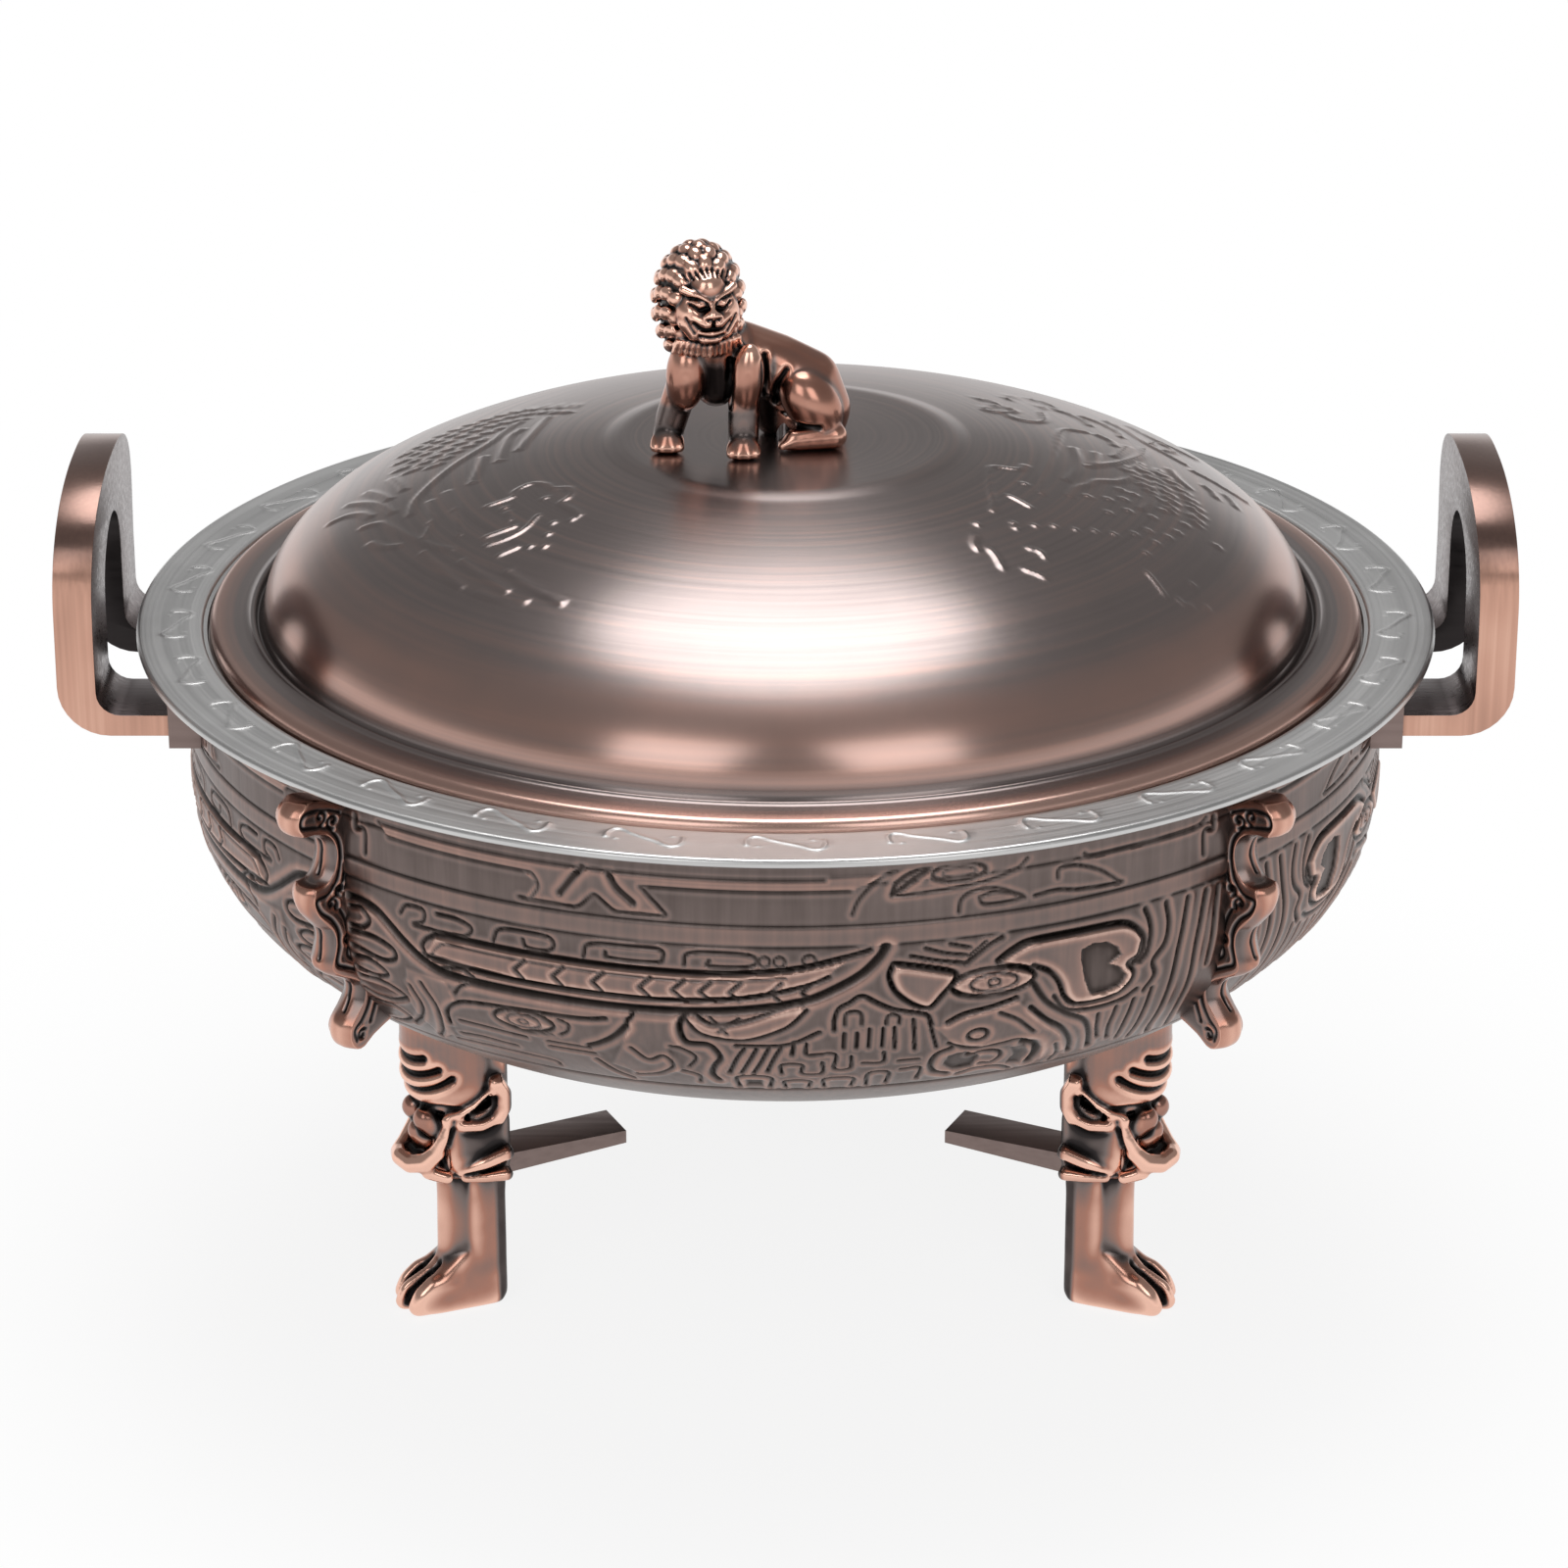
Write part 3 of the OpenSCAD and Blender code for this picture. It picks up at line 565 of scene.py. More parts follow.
def bump(tree, shader, height, strength, distance):
    made = node(tree, "ShaderNodeBump")
    made.inputs["Strength"].default_value = strength
    made.inputs["Distance"].default_value = distance
    tree.links.new(height, made.inputs["Height"])
    tree.links.new(made.outputs[0], shader.inputs["Normal"])


def patina(name, stops, roughness, brush, brush_depth, variation, spun=None, grain_share=1.2):
    """Antique copper on metal: dark where the tone is low and bright where it is high. The tone holds the
    patina, kept in hollows and rubbed off edges, with painted shade and painted highlight added in places. The
    roughness runs from that of the dark to that of the bright. `spun` holds ring_noise's two scales for a
    turned piece."""
    material, tree, shader = new_material(name)
    tone = node(tree, "ShaderNodeAttribute", attribute_name="tone").outputs["Fac"]
    cloud = brushed_noise(tree, (60, 60, 60), 3.0)
    streak = ring_noise(tree, *spun) if spun else brushed_noise(tree, brush)
    shade = math_node(tree, "MULTIPLY", math_node(tree, "SUBTRACT", cloud, 0.5), variation)
    grain = math_node(tree, "MULTIPLY", math_node(tree, "SUBTRACT", streak, 0.5), variation * grain_share)
    worn = math_node(tree, "ADD", math_node(tree, "ADD", tone, shade), grain, True)
    tree.links.new(ramp_node(tree, worn, stops), shader.inputs["Base Color"])
    dull = node(tree, "ShaderNodeMapRange", in0=worn, in1=0.0, in2=1.0, in3=roughness[0], in4=roughness[1])
    tree.links.new(dull.outputs[0], shader.inputs["Roughness"])
    shader.inputs["Metallic"].default_value = 1.0
    bump(tree, shader, streak, 0.35, brush_depth)
    return material, tree, shader


BOWL_STOPS = [(0.0, (0.012, 0.01, 0.009)), (0.3, (0.06, 0.047, 0.043)), (0.52, (0.172, 0.135, 0.125)),
              (0.72, (0.335, 0.212, 0.178)), (1.0, (0.78, 0.54, 0.45))]
CAST_STOPS = [(0.0, (0.008, 0.007, 0.007)), (0.26, (0.035, 0.03, 0.03)), (0.44, (0.2, 0.16, 0.15)),
              (0.66, (0.425, 0.208, 0.154)), (1.0, (0.9, 0.55, 0.43))]
LID_STOPS = [(0.0, (0.05, 0.038, 0.036)), (0.5, (0.285, 0.238, 0.228)), (0.75, (0.5, 0.32, 0.27)),
             (1.0, (0.8, 0.54, 0.45))]

SPUN = (900.0, 5.0)  # Fine across the radius, slow along the turn
bowl_copper, _, _ = patina("bowl_patina", BOWL_STOPS, (0.45, 0.3), (500, 500, 40), 0.0002, 0.12)
# The cast pieces' tone holds their patina together with painted shade and painted highlight
cast_copper, _, _ = patina("cast_patina_and_painted_shade", CAST_STOPS, (0.34, 0.17), (150, 150, 150), 0.00005, 0.08)
lid_copper, lid_tree, lid_shader = patina("lid_patina", LID_STOPS, (0.27, 0.24), None, 0.00003, 0.08,
                                          spun=SPUN, grain_share=3.5)
# The lid is brushed round its middle, which draws the lights out along the radius
spread = node(lid_tree, "ShaderNodeSeparateXYZ", in0=piece_place(lid_tree))
outwards = node(lid_tree, "ShaderNodeCombineXYZ", in0=spread.outputs[0], in1=spread.outputs[1], in2=0.0)
lid_tree.links.new(outwards.outputs[0], lid_shader.inputs["Tangent"])
lid_shader.inputs["Anisotropic"].default_value = 0.6


def metal(name, colour, roughness, stretch, depth, radial=False):
    """Brushed metal with slight clouds"""
    material, tree, shader = new_material(name)
    cloud = brushed_noise(tree, (45, 45, 45), 3.0)
    streak = ring_noise(tree, *stretch) if radial else brushed_noise(tree, stretch)
    dark = tuple(c * 0.82 for c in colour)
    light = tuple(min(c * 1.12, 1) for c in colour)
    tree.links.new(mixed(tree, cloud, dark, light), shader.inputs["Base Color"])
    span = node(tree, "ShaderNodeMapRange", in0=streak, in1=0.3, in2=0.7, in3=roughness * 0.8,
                in4=roughness * 1.25)
    tree.links.new(span.outputs[0], shader.inputs["Roughness"])
    shader.inputs["Metallic"].default_value = 1.0
    bump(tree, shader, streak, 0.3, depth)
    return material


pan_steel = metal("pan_steel", (0.6, 0.595, 0.59), 0.34, SPUN, 0.00005, radial=True)
screw_zinc = metal("screw_zinc", (0.62, 0.63, 0.64), 0.3, (300, 300, 300), 0.00005)

# Bowl: four pressed quarters that meet under the fins. The pattern of one is mirrored in the next.

# Strokes of the frieze in (azimuth times radius, length down from the rim), for the front quarter
FRIEZE_GROOVES = [
    # Upper band
    (0.5, 0.5, "-105,10.5 -60,10.5 -20,10.5 9,10.5"),
    (0.5, 0.5, "-102,13.6 -80,13.6 -64,13.6 -61,14 -59.6,17 -62,20.5 -64.6,20.6 -56,20.6 -50,20.6 -47,18 "
               "-45.2,16.9 -42,19.5 -40,20.6 -34,20.6 -28.5,20.6 -29.5,19 -33.5,14.5 -32,13.6 -10,13.6 "
               "15,13.6"),
    (0.8, 0.8, "-54,17.6 -51,13.5 -48.5,10.5"), (0.8, 0.8, "-42,11 -40,14.5 -36,18"),
    (0.5, 0.5, "15.5,19.6 17,16 20,12.5 23,10 27,8.5"),
    (0.7, 0.8, "25,15 26,12.5 29,10.2 34,8.7 30,11.5 27.5,13.5 25,15"),
    (0.5, 0.5, "26,15.5 36,15 47,14 55,12 58,9.5"),
    (0.5, 0.5, "41,21 41.5,18 44,16.2 49,15.8 53,17 57.5,19.5"),
    (0.5, 0.5, "46,17.8 50,17 55,18 57,19.4 52,20 47,19.6 46,17.8"),
    (0.5, 0.5, "66,16 66.3,13.8 69,13.3 73,14.2 78,16.5 82.5,20 83,20.6 72,20 66,19 60,19.5"),
    (0.5, 0.5, "73,11 75,12 85,12 104,12.5 108,11.5 109.5,10.5"),
    (0.6, 0.6, "-113,11 -113,14 -110,14 -110,20"), (0.6, 0.6, "112,11 112,14 109,14 109,20"),
    # The long wave and the ribbed crescent
    (1.0, 1.15, "-116,33 -112,33 -107,34 -103,36.5 -98,40 -93,43 -88,44.8 -80,45.6 -60,45.6 -40,45.6 "
                "-20,45 -5,43.5 5,41.5 12,38.5 18,35 22,31 23.5,28.5"),
    (0.7, 0.8, "-88,44.8 -82,42.8 -78,44.5"),
    (0.6, 0.75, "-92,41 -92.5,39 -90,36.5 -85,35 -60,34.8 -20,34.8 0,33.5 12,31 20,29"),
    (0.6, 0.75, "-92,41 -90,42 -66,42.5 -30,42.5 -10,41 2,38.5 10,35.5"),
    (0.4, 0.4, "-89.5,41 -87.5,38.5 -83,37 -60,36.8 -20,36.8 0,35.5"),
    # Scroll bars over the crescent
    (0.5, 0.6, "-99,32.5 -97,30 -92,30 -92,33 -95,34.5 -88,34.5 -80,34 -78,31.5 -82,30 -88,30"),
    (0.5, 0.6, "-72,33.5 -70,30 -62,29.5 -57,30 -56,32 -58,33.5 -63,33.5 -64,31.5"),
    (0.5, 0.6, "-48.5,33.5 -47,30 -38,29.5 -30,29.5 -29,31.5 -31,33 -42,33 -43,31.5"),
    (0.5, 0.6, "-24,33 -23,30 -15,29.5 -8,30 -7,32 -10,33 -18,33 -18,31.5"),
    # Fingers and leaves by the left fin
    (0.6, 0.8, "-116,35.5 -112,35 -109.5,37.5 -112,40 -116,40.5"),
    (0.6, 0.8, "-116,42 -108,41.5 -102,43 -101.5,45.5 -105,47 -111,46.5 -116,46"),
    (0.6, 0.8, "-116,49 -110,48.5 -105,51 -109,53 -116,52.5"),
    (0.6, 0.8, "-116,55 -107,54.5 -101,57 -106,60 -112,61 -116,60"),
    (0.6, 0.8, "-116,64 -108,63 -104,66 -108,70 -114,72"), (0.6, 0.7, "-98,52 -96,58 -99,64 -104,69"),
    (0.6, 0.7, "-94,50 -91,57 -93,66 -97,72"),
    # Left eye and its bars
    (0.6, 0.8, "-89,62 -88,57 -84,53.5 -78,52 -66,51 -50,50.5 -43.5,49.5"),
    (0.5, 0.6, "-84,50.5 -82,48 -79,46.5"), (0.5, 0.6, "-56,52 -53.5,53 -54,55.5 -56,57"),
    (0.8, 0.9, "-38.5,51 -42,55 -46,58 -49,59.5"), (0.5, 0.6, "-60,60.5 -49,60.5"),
    (0.5, 0.6, "-60,62.5 -48,62.5"), (0.6, 0.7, "-48,65 -44,70 -40,73"),
    (0.5, 0.6, "-87,66 -80,65 -70,65.5"), (0.5, 0.6, "-90,70 -78,69 -62,69.5 -60,72"),
    (0.5, 0.6, "-85,60 -76,60 -66,60.5"), (0.6, 0.7, "-52,46 -38,46 -37,48 -38,49 -38.5,51"),
    (0.4, 0.4, "-72,56.5 -66,58.5 -58,57.5"),
    # The plain field, its swirl and the lip
    (0.5, 0.6, "-28,56 -25,57 -22,60 -24,64"),
    (0.8, 1.0, "-24,46 -25.5,50 -24,54.5 -19,55 -17,57 -16,60 -17.5,63 -18.5,67 -17,70"),
    (0.6, 0.7, "-25,47 -22,45.5 -18,48.5 -12,48 -5,45.5 3,42"),
    (0.6, 0.7, "-24,47 -20,51.5 -10,53 0,49 5,44"), (0.5, 0.6, "-18,46.5 -14,51"),
    (0.5, 0.6, "-11,46.5 -16,50.5"), (0.6, 0.7, "-38,58 -34,62 -30,60 -28,64 -32,68 -38,70"),
    (0.5, 0.6, "-26,66 -22,68 -22,72"),
    # Slanted fingers
    (0.6, 0.8, "-10,56 -12,60 -14,66"), (0.6, 0.8, "-7,56 -9,61 -11,66"), (0.6, 0.8, "-4,55.5 -6,61 -8,66"),
    (0.6, 0.8, "-1,55 -3,60 -4.5,65"), (0.6, 0.8, "-12,55 0,54.5 8,50.5"), (0.6, 0.8, "2,53.5 1.5,58"),
    # Frets under them
    (0.6, 0.8, "-12,74 -12,68 -4,68 -4,74"), (0.5, 0.7, "-1,66 -1,62 4,62 4,66 9,66 9,61"),
    (0.5, 0.7, "6,58 12,58 12,64 16,64 16,59"), (0.5, 0.7, "0,74 0,70 6,70 6,74"),
    (0.5, 0.7, "10,74 10,69 17,69 17,74"), (0.5, 0.7, "21,74 21,67 26,67 26,73"),
    (0.5, 0.7, "5,54 5,58 9,58"), (0.5, 0.7, "19,62 24,62 24,58"), (0.5, 0.7, "28,62 33,62"),
    (0.5, 0.7, "29,66 34,66 34,72"),
    # Arch with loops
    (0.6, 0.8, "11.5,50 11.5,47 12.5,44 15,42.5 18,40.8 22,43 26,45 32,46.5 34,47.5 35,50"),
    (0.5, 0.6, "14,48.5 14.2,45.5 16,44.8 17.8,45.5 18,48.5"),
    (0.5, 0.6, "24,49 24.2,46.8 25.5,46.2 27,47 27,49"), (0.5, 0.7, "20,50 20,56"),
    (0.5, 0.7, "14,51 14,56"), (0.5, 0.7, "17,51 17,56"), (0.5, 0.7, "23.3,50 23.3,56"),
    (0.5, 0.7, "26,50 26.5,57"), (0.5, 0.7, "30.5,48 31,53 31.5,58"), (0.5, 0.7, "34.5,49 35.5,53 37,58"),
    # Petal, brows
    (0.7, 0.9, "25.5,33 24.5,36 26,40 30,43.5 34,45 37,42 40,38.5 40,36.5 33,34.5 27,33.2 25.5,33"),
    (0.5, 0.6, "29.5,31.2 36,33 42.5,34.3"), (0.5, 0.6, "33,29.5 38,31.3 43,32.3"),
    (0.5, 0.6, "39,29 44,30.5"), (0.6, 0.7, "43,34.5 48,31 52,29"), (0.5, 0.6, "44,32.5 48,29.5"),
    # Ear and its recess
    (0.8, 0.9, "51,35 55,32.5 60,31 75,31 84,31.5 88,33.5 91,37 90.5,41 88,43"),
    (0.7, 0.9, "60,37.5 64,39.5 67,43 69,48 72,50.5 78,51 84,50.5 87.5,48 88,45 86,42.5 89,41 90,38"),
    # Nested contour lines on the right
    (0.7, 0.8, "91,29.5 92.5,33 93,37 92,41 90,43"),
    (0.7, 0.8, "97.5,29.5 98.5,35 97.5,40 94,44 95,48 92.5,52"),
    (0.7, 0.8, "104.5,30 103,38 101.5,45 101,55 101.5,68 104,74"),
    (0.7, 0.8, "110.5,30 109,37 107.5,45 107.5,55 108,66 111,74"), (0.6, 0.7, "114.5,30 113.5,40 112.5,50"),
    (0.7, 0.8, "66,47 70,52 78,53.5 86,53 90,51"), (0.8, 0.9, "60,42 64,48 70,53 76,57 79,62 82,70"),
    (0.7, 0.8, "60,49 65,54 70,58 74,64 76,70"), (0.6, 0.7, "85,55 85,62 87,68"),
    (0.6, 0.7, "90,54 90,62 91,70"), (0.6, 0.7, "95,52 95,60 96,72"), (0.6, 0.7, "80,56 81,61 83,66"),
    (0.6, 0.7, "70,64 72,69 72,74"), (1.1, 1.1, "60,60.5 63.5,62 65,66 64.5,71"),
    (0.8, 0.9, "41,59 37.5,61 36.5,65 38,69 42,71"),
    (0.6, 0.8, "46,63 50,61.8 54,63 55,65.5 53,68 50,67.5"), (0.6, 0.7, "40,57 46,60 53,59.5 59,59 63,62"),
    (0.6, 0.7, "45,72 50,70 56,71 60,74"), (0.6, 0.8, "56,45.5 50,47 43,48 39,50"),
    (0.6, 0.7, "52,49 57,52 62,57"),
]
FRIEZE_RINGS = [  # Ellipses: place, half axes, width and depth
    (41, 10.8, 6.5, 2.3, 0.6, 0.6), (41, 10.8, 4.2, 1.2, 0.4, 0.4), (50, 40.2, 10.5, 3.4, 0.7, 0.9),
    (50, 40.2, 6, 2.2, 0.5, 0.6), (50, 40.2, 1.5, 1.0, 0.4, 0.6), (-65.5, 54.5, 8, 3.2, 0.6, 0.7),
    (-65.5, 54.5, 4.5, 2.0, 0.5, 0.6), (-65.5, 54.5, 1.3, 0.8, 0.4, 0.5), (47, 55, 2.5, 1.8, 0.6, 0.8),
    (-5, 31.5, 1.3, 1.3, 0.4, 0.5), (-1.5, 31.5, 1.3, 1.3, 0.4, 0.5), (5.5, 31.2, 1.5, 1.4, 0.4, 0.5),
]
FRIEZE_PADS = [  # Closed outlines and the height to which they stand out
    (0.35, "-102,13.6 -64,13.6 -60,16 -63,20.6 -50,20.6 -45.2,16.9 -40,20.6 -28.5,20.6 -33.5,14.5 "
           "-32,13.6 15,13.6 24,9.8 9,10.2 -105,10.2"),
    (0.5, "-91,40.5 -88,36.2 -60,35.6 -20,35.6 0,34.3 14,31.5 8,36.5 -10,40.2 -30,41.7 -66,41.7"),
    (0.6, "25.5,33 24.5,36 26,40 30,43.5 34,45 37,42 40,38.5 40,36.5 33,34.5 27,33.2"),
    (0.55, "39.5,40.2 43,37.2 50,36.4 57,37.6 60.5,40.2 57,43 50,44.2 43,43"),
    (0.5, "52,35 60,31.6 75,31.6 84,32 88,34 90,38 88,42 86,42.5 88,46 84,50 78,50.5 72,50 69,47 67,43 "
          "64,39.2 58,37"),
    (0.4, "-24,47 -18,48.5 -12,48 -5,45.5 3,42 4,44.5 0,49 -10,53 -20,51.5"),
    (0.35, "-73.5,54.5 -66,51.8 -58,54.5 -66,57.5"),
    (0.35, "36,51 44,48.5 56,46 62,52 70,60 74,68 68,72 66,64 60,59 50,59.8 41,57"),
    (0.3, "-98,47 -86,47.3 -84,53 -89,58 -90,68 -96,72 -100,60"),
    (0.3, "-37,48 -26,47.5 -25,55 -29,57 -26,66 -36,70 -44,66 -40,57"),
]
FRIEZE_PITS = [  # Closed outlines that lie deep
    (0.9, "73,36 76,35 80,35.5 83,37.5 84,39.5 81,41.5 84,43 86,45.5 85,48 80,49 76,48.5 74,44 73,39"),
    (0.5, "-10,69.5 -6,69.5 -6,73 -10,73"), (0.6, "41,62 45,61 49,63.5 48,69 43,69.5 40,66"),
    (0.5, "57,62 61,62 63,66 62,71 58,70 59,66"),
]
CHEVRONS = (-64.5, -54.5, -44.5, -33, -25, -18.5, -11.5, -2, 5.5)


def frieze_heights(u, s):
    """The frieze's relief at the azimuths u, in mm round the wall, and the lengths s down from the rim"""
    relief = Relief(u, s)
    for height, text in FRIEZE_PADS:
        relief.pad(points(text), height)
    for depth, text in FRIEZE_PITS:
        relief.pad(points(text), -depth, 0.7)
    for width, depth, text in FRIEZE_GROOVES:
        relief.groove(curved(points(text)), width * 0.85, depth * 0.75, depth * 0.32)
    for x, y, a, b, width, depth in FRIEZE_RINGS:
        relief.groove(ellipse(x, y, a, b), width * 0.85, depth * 0.75, depth * 0.32)
    for x in CHEVRONS:
        relief.groove(points(f"{x + 1},36.8 {x - 1.8},39.5 {x + 0.5},41.6"), 0.45, 0.5, 0.3)
    height = relief.height()
    # Three ring grooves, and a band between the lower two that is a little proud
    for s0 in (12.0, 22.6, 27.8):
        height -= 0.35 * np.exp(-((s - s0) / 0.5) ** 2) * (1 - ramp(np.abs(height), 0.1, 0.3))
    height += 0.25 * (ramp(s, 22.3, 23) - ramp(s, 27.4, 28.2))
    return height * ramp(s, 8.2, 9.5) * (1 - ramp(s, 74.5, 76.5)) - 0.5 * np.exp(-((s - 76) / 0.7) ** 2)


def bowl_profile():
    """Rows over the lip, down the outside, round the flame lip and up the inside, and how far down the outside
    each row lies"""
    t = np.radians(np.linspace(0, 90, 400))
    dish = np.stack([FLAME_R + (BOWL_R - FLAME_R) * np.cos(t),
                     RIM_Z - BOWL_UPRIGHT - BOWL_DISH * np.sin(t) ** (2 / BOWL_FULLNESS)], 1)
    outer = np.vstack([[[BOWL_R, RIM_Z]], dish])
    full = run_of(outer)[-1]
    lip = BOWL_TOP - LIP_R
    rows = np.r_[RIM_Z - lip + 0.2, np.linspace(4, 8, 3), np.arange(8.5, 77.6, 0.5), np.linspace(79, 162, 24)]
    rows = rows[rows < full - 1.5]
    wall = at_runs(outer, np.linspace(6, full - 3, 22))
    ahead = unit_steps(wall)
    wall = wall + BOWL_T * np.stack([ahead[:, 1], -ahead[:, 0]], 1)
    top_lip = arc(BOWL_R, lip, LIP_R, 190, 10, 6)
    low_lip = arc(FLAME_R, BOWL_FOOT + LIP_R, LIP_R, -80, -280, 7)
    profile = np.vstack([top_lip, at_runs(outer, rows), low_lip, wall[::-1], top_lip[:1]])
    down = np.full(len(profile), -1.0)
    down[len(top_lip):len(top_lip) + len(rows)] = rows
    return profile, down


def evened(grid, reach):
    """A grid of values, each averaged with those up to `reach` steps away"""
    window = np.hanning(2 * reach + 3)[1:-1]
    window /= window.sum()
    for axis in (0, 1):
        margins = [(reach, reach) if k == axis else (0, 0) for k in (0, 1)]
        wide = np.pad(grid, margins, "edge")
        grid = np.apply_along_axis(lambda row: np.convolve(row, window, "valid"), axis, wide)
    return grid


def make_bowl():
    profile, down = bowl_profile()
    azimuths = np.radians(np.linspace(-45, 45, BOWL_COLUMNS + 1))
    carved = down > 7
    u, s = np.meshgrid(azimuths * BOWL_R, down[carved], indexing="ij")
    height = frieze_heights(u.ravel(), s.ravel()).reshape(u.shape)
    relief = np.zeros((len(azimuths), len(profile)))
    relief[:, carved] = height
    tone = np.full(relief.shape, 0.5)
    tone[:, carved] = 0.5 + 0.42 * (height - evened(height, 4)) + 0.34 * (height - evened(height, 20))
    for name, middle, mirrored in (("front", 0, 1), ("right", 90, -1), ("back", 180, 1), ("left", -90, -1)):
        around = np.radians(middle) + azimuths
        mesh = azimuth_grid(around, profile, False, relief[::mirrored], tone[::mirrored])
        finished(f"bowl_frieze_{name}", mesh, "stand", bowl_copper,
                 ("bowl",) if name == "front" else (), 40)


make_bowl()

# Lid

# The embossing, read off from two enlarged plan views of the lid, one for each creature. Their points
# are in dots, with y downwards, and MIDDLE is where the lid's middle lies in each.
EMBOSSING_DOTS_PER_MM = 12.21
PHOENIX_MIDDLE = (1530, 780)
PHOENIX_CURVES = [
    "680,440 640,510 590,630 490,770 420,900 380,1000 370,1100",
    "690,540 655,600 642,700 632,825",
    "770,440 745,540 720,640 690,760",
    "580,760 570,870 557,970",
    "100,890 150,900 200,940 240,1000",
    "150,800 210,860 260,930 310,1035",
    "210,760 250,830 290,910",
    "285,715 310,790 335,870",
    "220,1060 270,1080 310,1140 370,1240 450,1350 520,1420",
    "480,1000 500,1080 520,1160 530,1250 540,1340",
    "430,1040 440,1120 450,1200 430,1290",
    "615,1185 690,1160 700,1115 745,1080 790,1105 815,1140 865,1160 875,1195 865,1230 845,1260 885,1320 "
    "905,1360",
    "620,1390 665,1380 710,1365",
    "625,1445 690,1430 740,1390 775,1320",
    "665,1520 695,1508 725,1495",
    "555,1500 600,1580 700,1720",
    "695,1620 760,1710 870,1830",
    "680,1260 685,1290 690,1315",
    "250,1200 300,1260 350,1290",
    "430,1385 470,1470 520,1570 560,1640",
    "610,1690 680,1750 760,1790",
]
PHOENIX_DOTS = (
    "670,1225 795,1205 885,1380 825,1385 812,1450 760,1505 805,1520 632,830 557,975 445,1200 430,1385 "
    "555,1500 697,1618 515,1155")
PHOENIX_SCALES = [
    "290,475 345,390 430,330 520,290 620,262 720,270 800,300 860,350",
    "285,560 340,480 400,420 480,370 570,335 650,322 730,335 800,375 840,420",
    "290,650 350,560 410,490 480,440 560,400 640,390 700,410",
    "330,710 390,620 450,560 520,500 590,470 640,460",
    "400,730 450,650 510,590 570,560",
]
DRAGON_MIDDLE = (-480, 780)
DRAGON_CURVES = [
    "240,200 255,150 300,130 370,150 392,200 380,245",
    "130,265 190,290 205,330 160,400 180,430 230,420",
    "235,345 260,380 230,430 260,480 320,480 350,430 345,330",
    "345,240 420,250 470,300 500,370",
    "480,480 420,500 395,560 380,680 350,850 320,1000 305,1150",
    "430,700 440,800 430,900 390,1010",
    "670,490 650,600 580,730 520,800 470,850",
    "610,530 580,640 560,690",
    "500,700 495,780 485,820",
    "640,690 610,780 600,860 560,920 530,940 490,965 460,1010 420,1060 395,1130",
    "680,850 670,960 650,1040 620,1100",
    "265,950 240,990 165,1000 150,1060 145,1170 155,1270 148,1330",
    "205,1210 235,1235 265,1265",
    "92,1505 85,1550 92,1580",
    "130,1570 150,1610 165,1660",
    "250,1530 285,1535 297,1565",
    "235,1650 262,1658 292,1670",
    "560,220 620,290 680,400 760,480 800,510",
    "700,380 720,320 765,335 775,385 740,415",
    "640,180 700,260 760,300 850,330",
    "740,650 760,720 790,775",
    "850,690 870,720 882,760",
    "915,680 935,720 945,755",
    "820,560 880,580 930,600 990,610",
    "610,1500 630,1530 660,1585",
    "700,1575 720,1590 740,1580",
    "480,250 540,290 590,360 600,420",
    "520,480 560,520 570,560",
]
DRAGON_DOTS = (
    "215,1420 275,1385 335,1365 400,1360 460,1340 520,1330 585,1290 630,1240 255,1100 450,1105 515,1090 "
    "510,1190 575,1140 565,1060 785,960 780,1025 755,1110 725,1185 692,1240 650,1305 615,1390 750,1470 "
    "790,1550 98,1430 210,1390 775,890 850,1170 690,1060 650,1135 600,1000 560,990 630,900")
DRAGON_SCALES = [
    "640,720 690,790 720,870 740,960 720,1050",
    "590,760 640,830 670,900 680,980",
    "700,700 760,790 800,880 820,980 800,1080",
]


def on_plan(text, middle):
    """Points of the embossing in mm from the lid's middle, to a tenth"""
    return np.round((points(text) - middle) * (1, -1) / EMBOSSING_DOTS_PER_MM, 1)


def lid_relief(x, y):
    """The embossed phoenix on the left and dragon on the right, drawn on the plan of the lid"""
    relief = Relief(x, y)
    for middle, curves, dots, scales in ((PHOENIX_MIDDLE, PHOENIX_CURVES, PHOENIX_DOTS, PHOENIX_SCALES),
                                         (DRAGON_MIDDLE, DRAGON_CURVES, DRAGON_DOTS, DRAGON_SCALES)):
        for text in curves:
            relief.ridge(curved(on_plan(text, middle)), 0.75, 0.42)
        for at in on_plan(dots, middle):
            relief.ridge(mark(*at), 0.85, 0.5)
        # Each line of scales is a row of bows
        for text in scales:
            path = resampled(curved(on_plan(text, middle)), 4.4)
            for a, b in zip(path[:-1], path[1:]):
                half = (b - a) / 2
                crown = (a + b) / 2 + np.array([half[1], -half[0]]) * 1.1
                relief.ridge(curved(np.array([a, crown, b])), 0.7, 0.38)
    return relief.height()


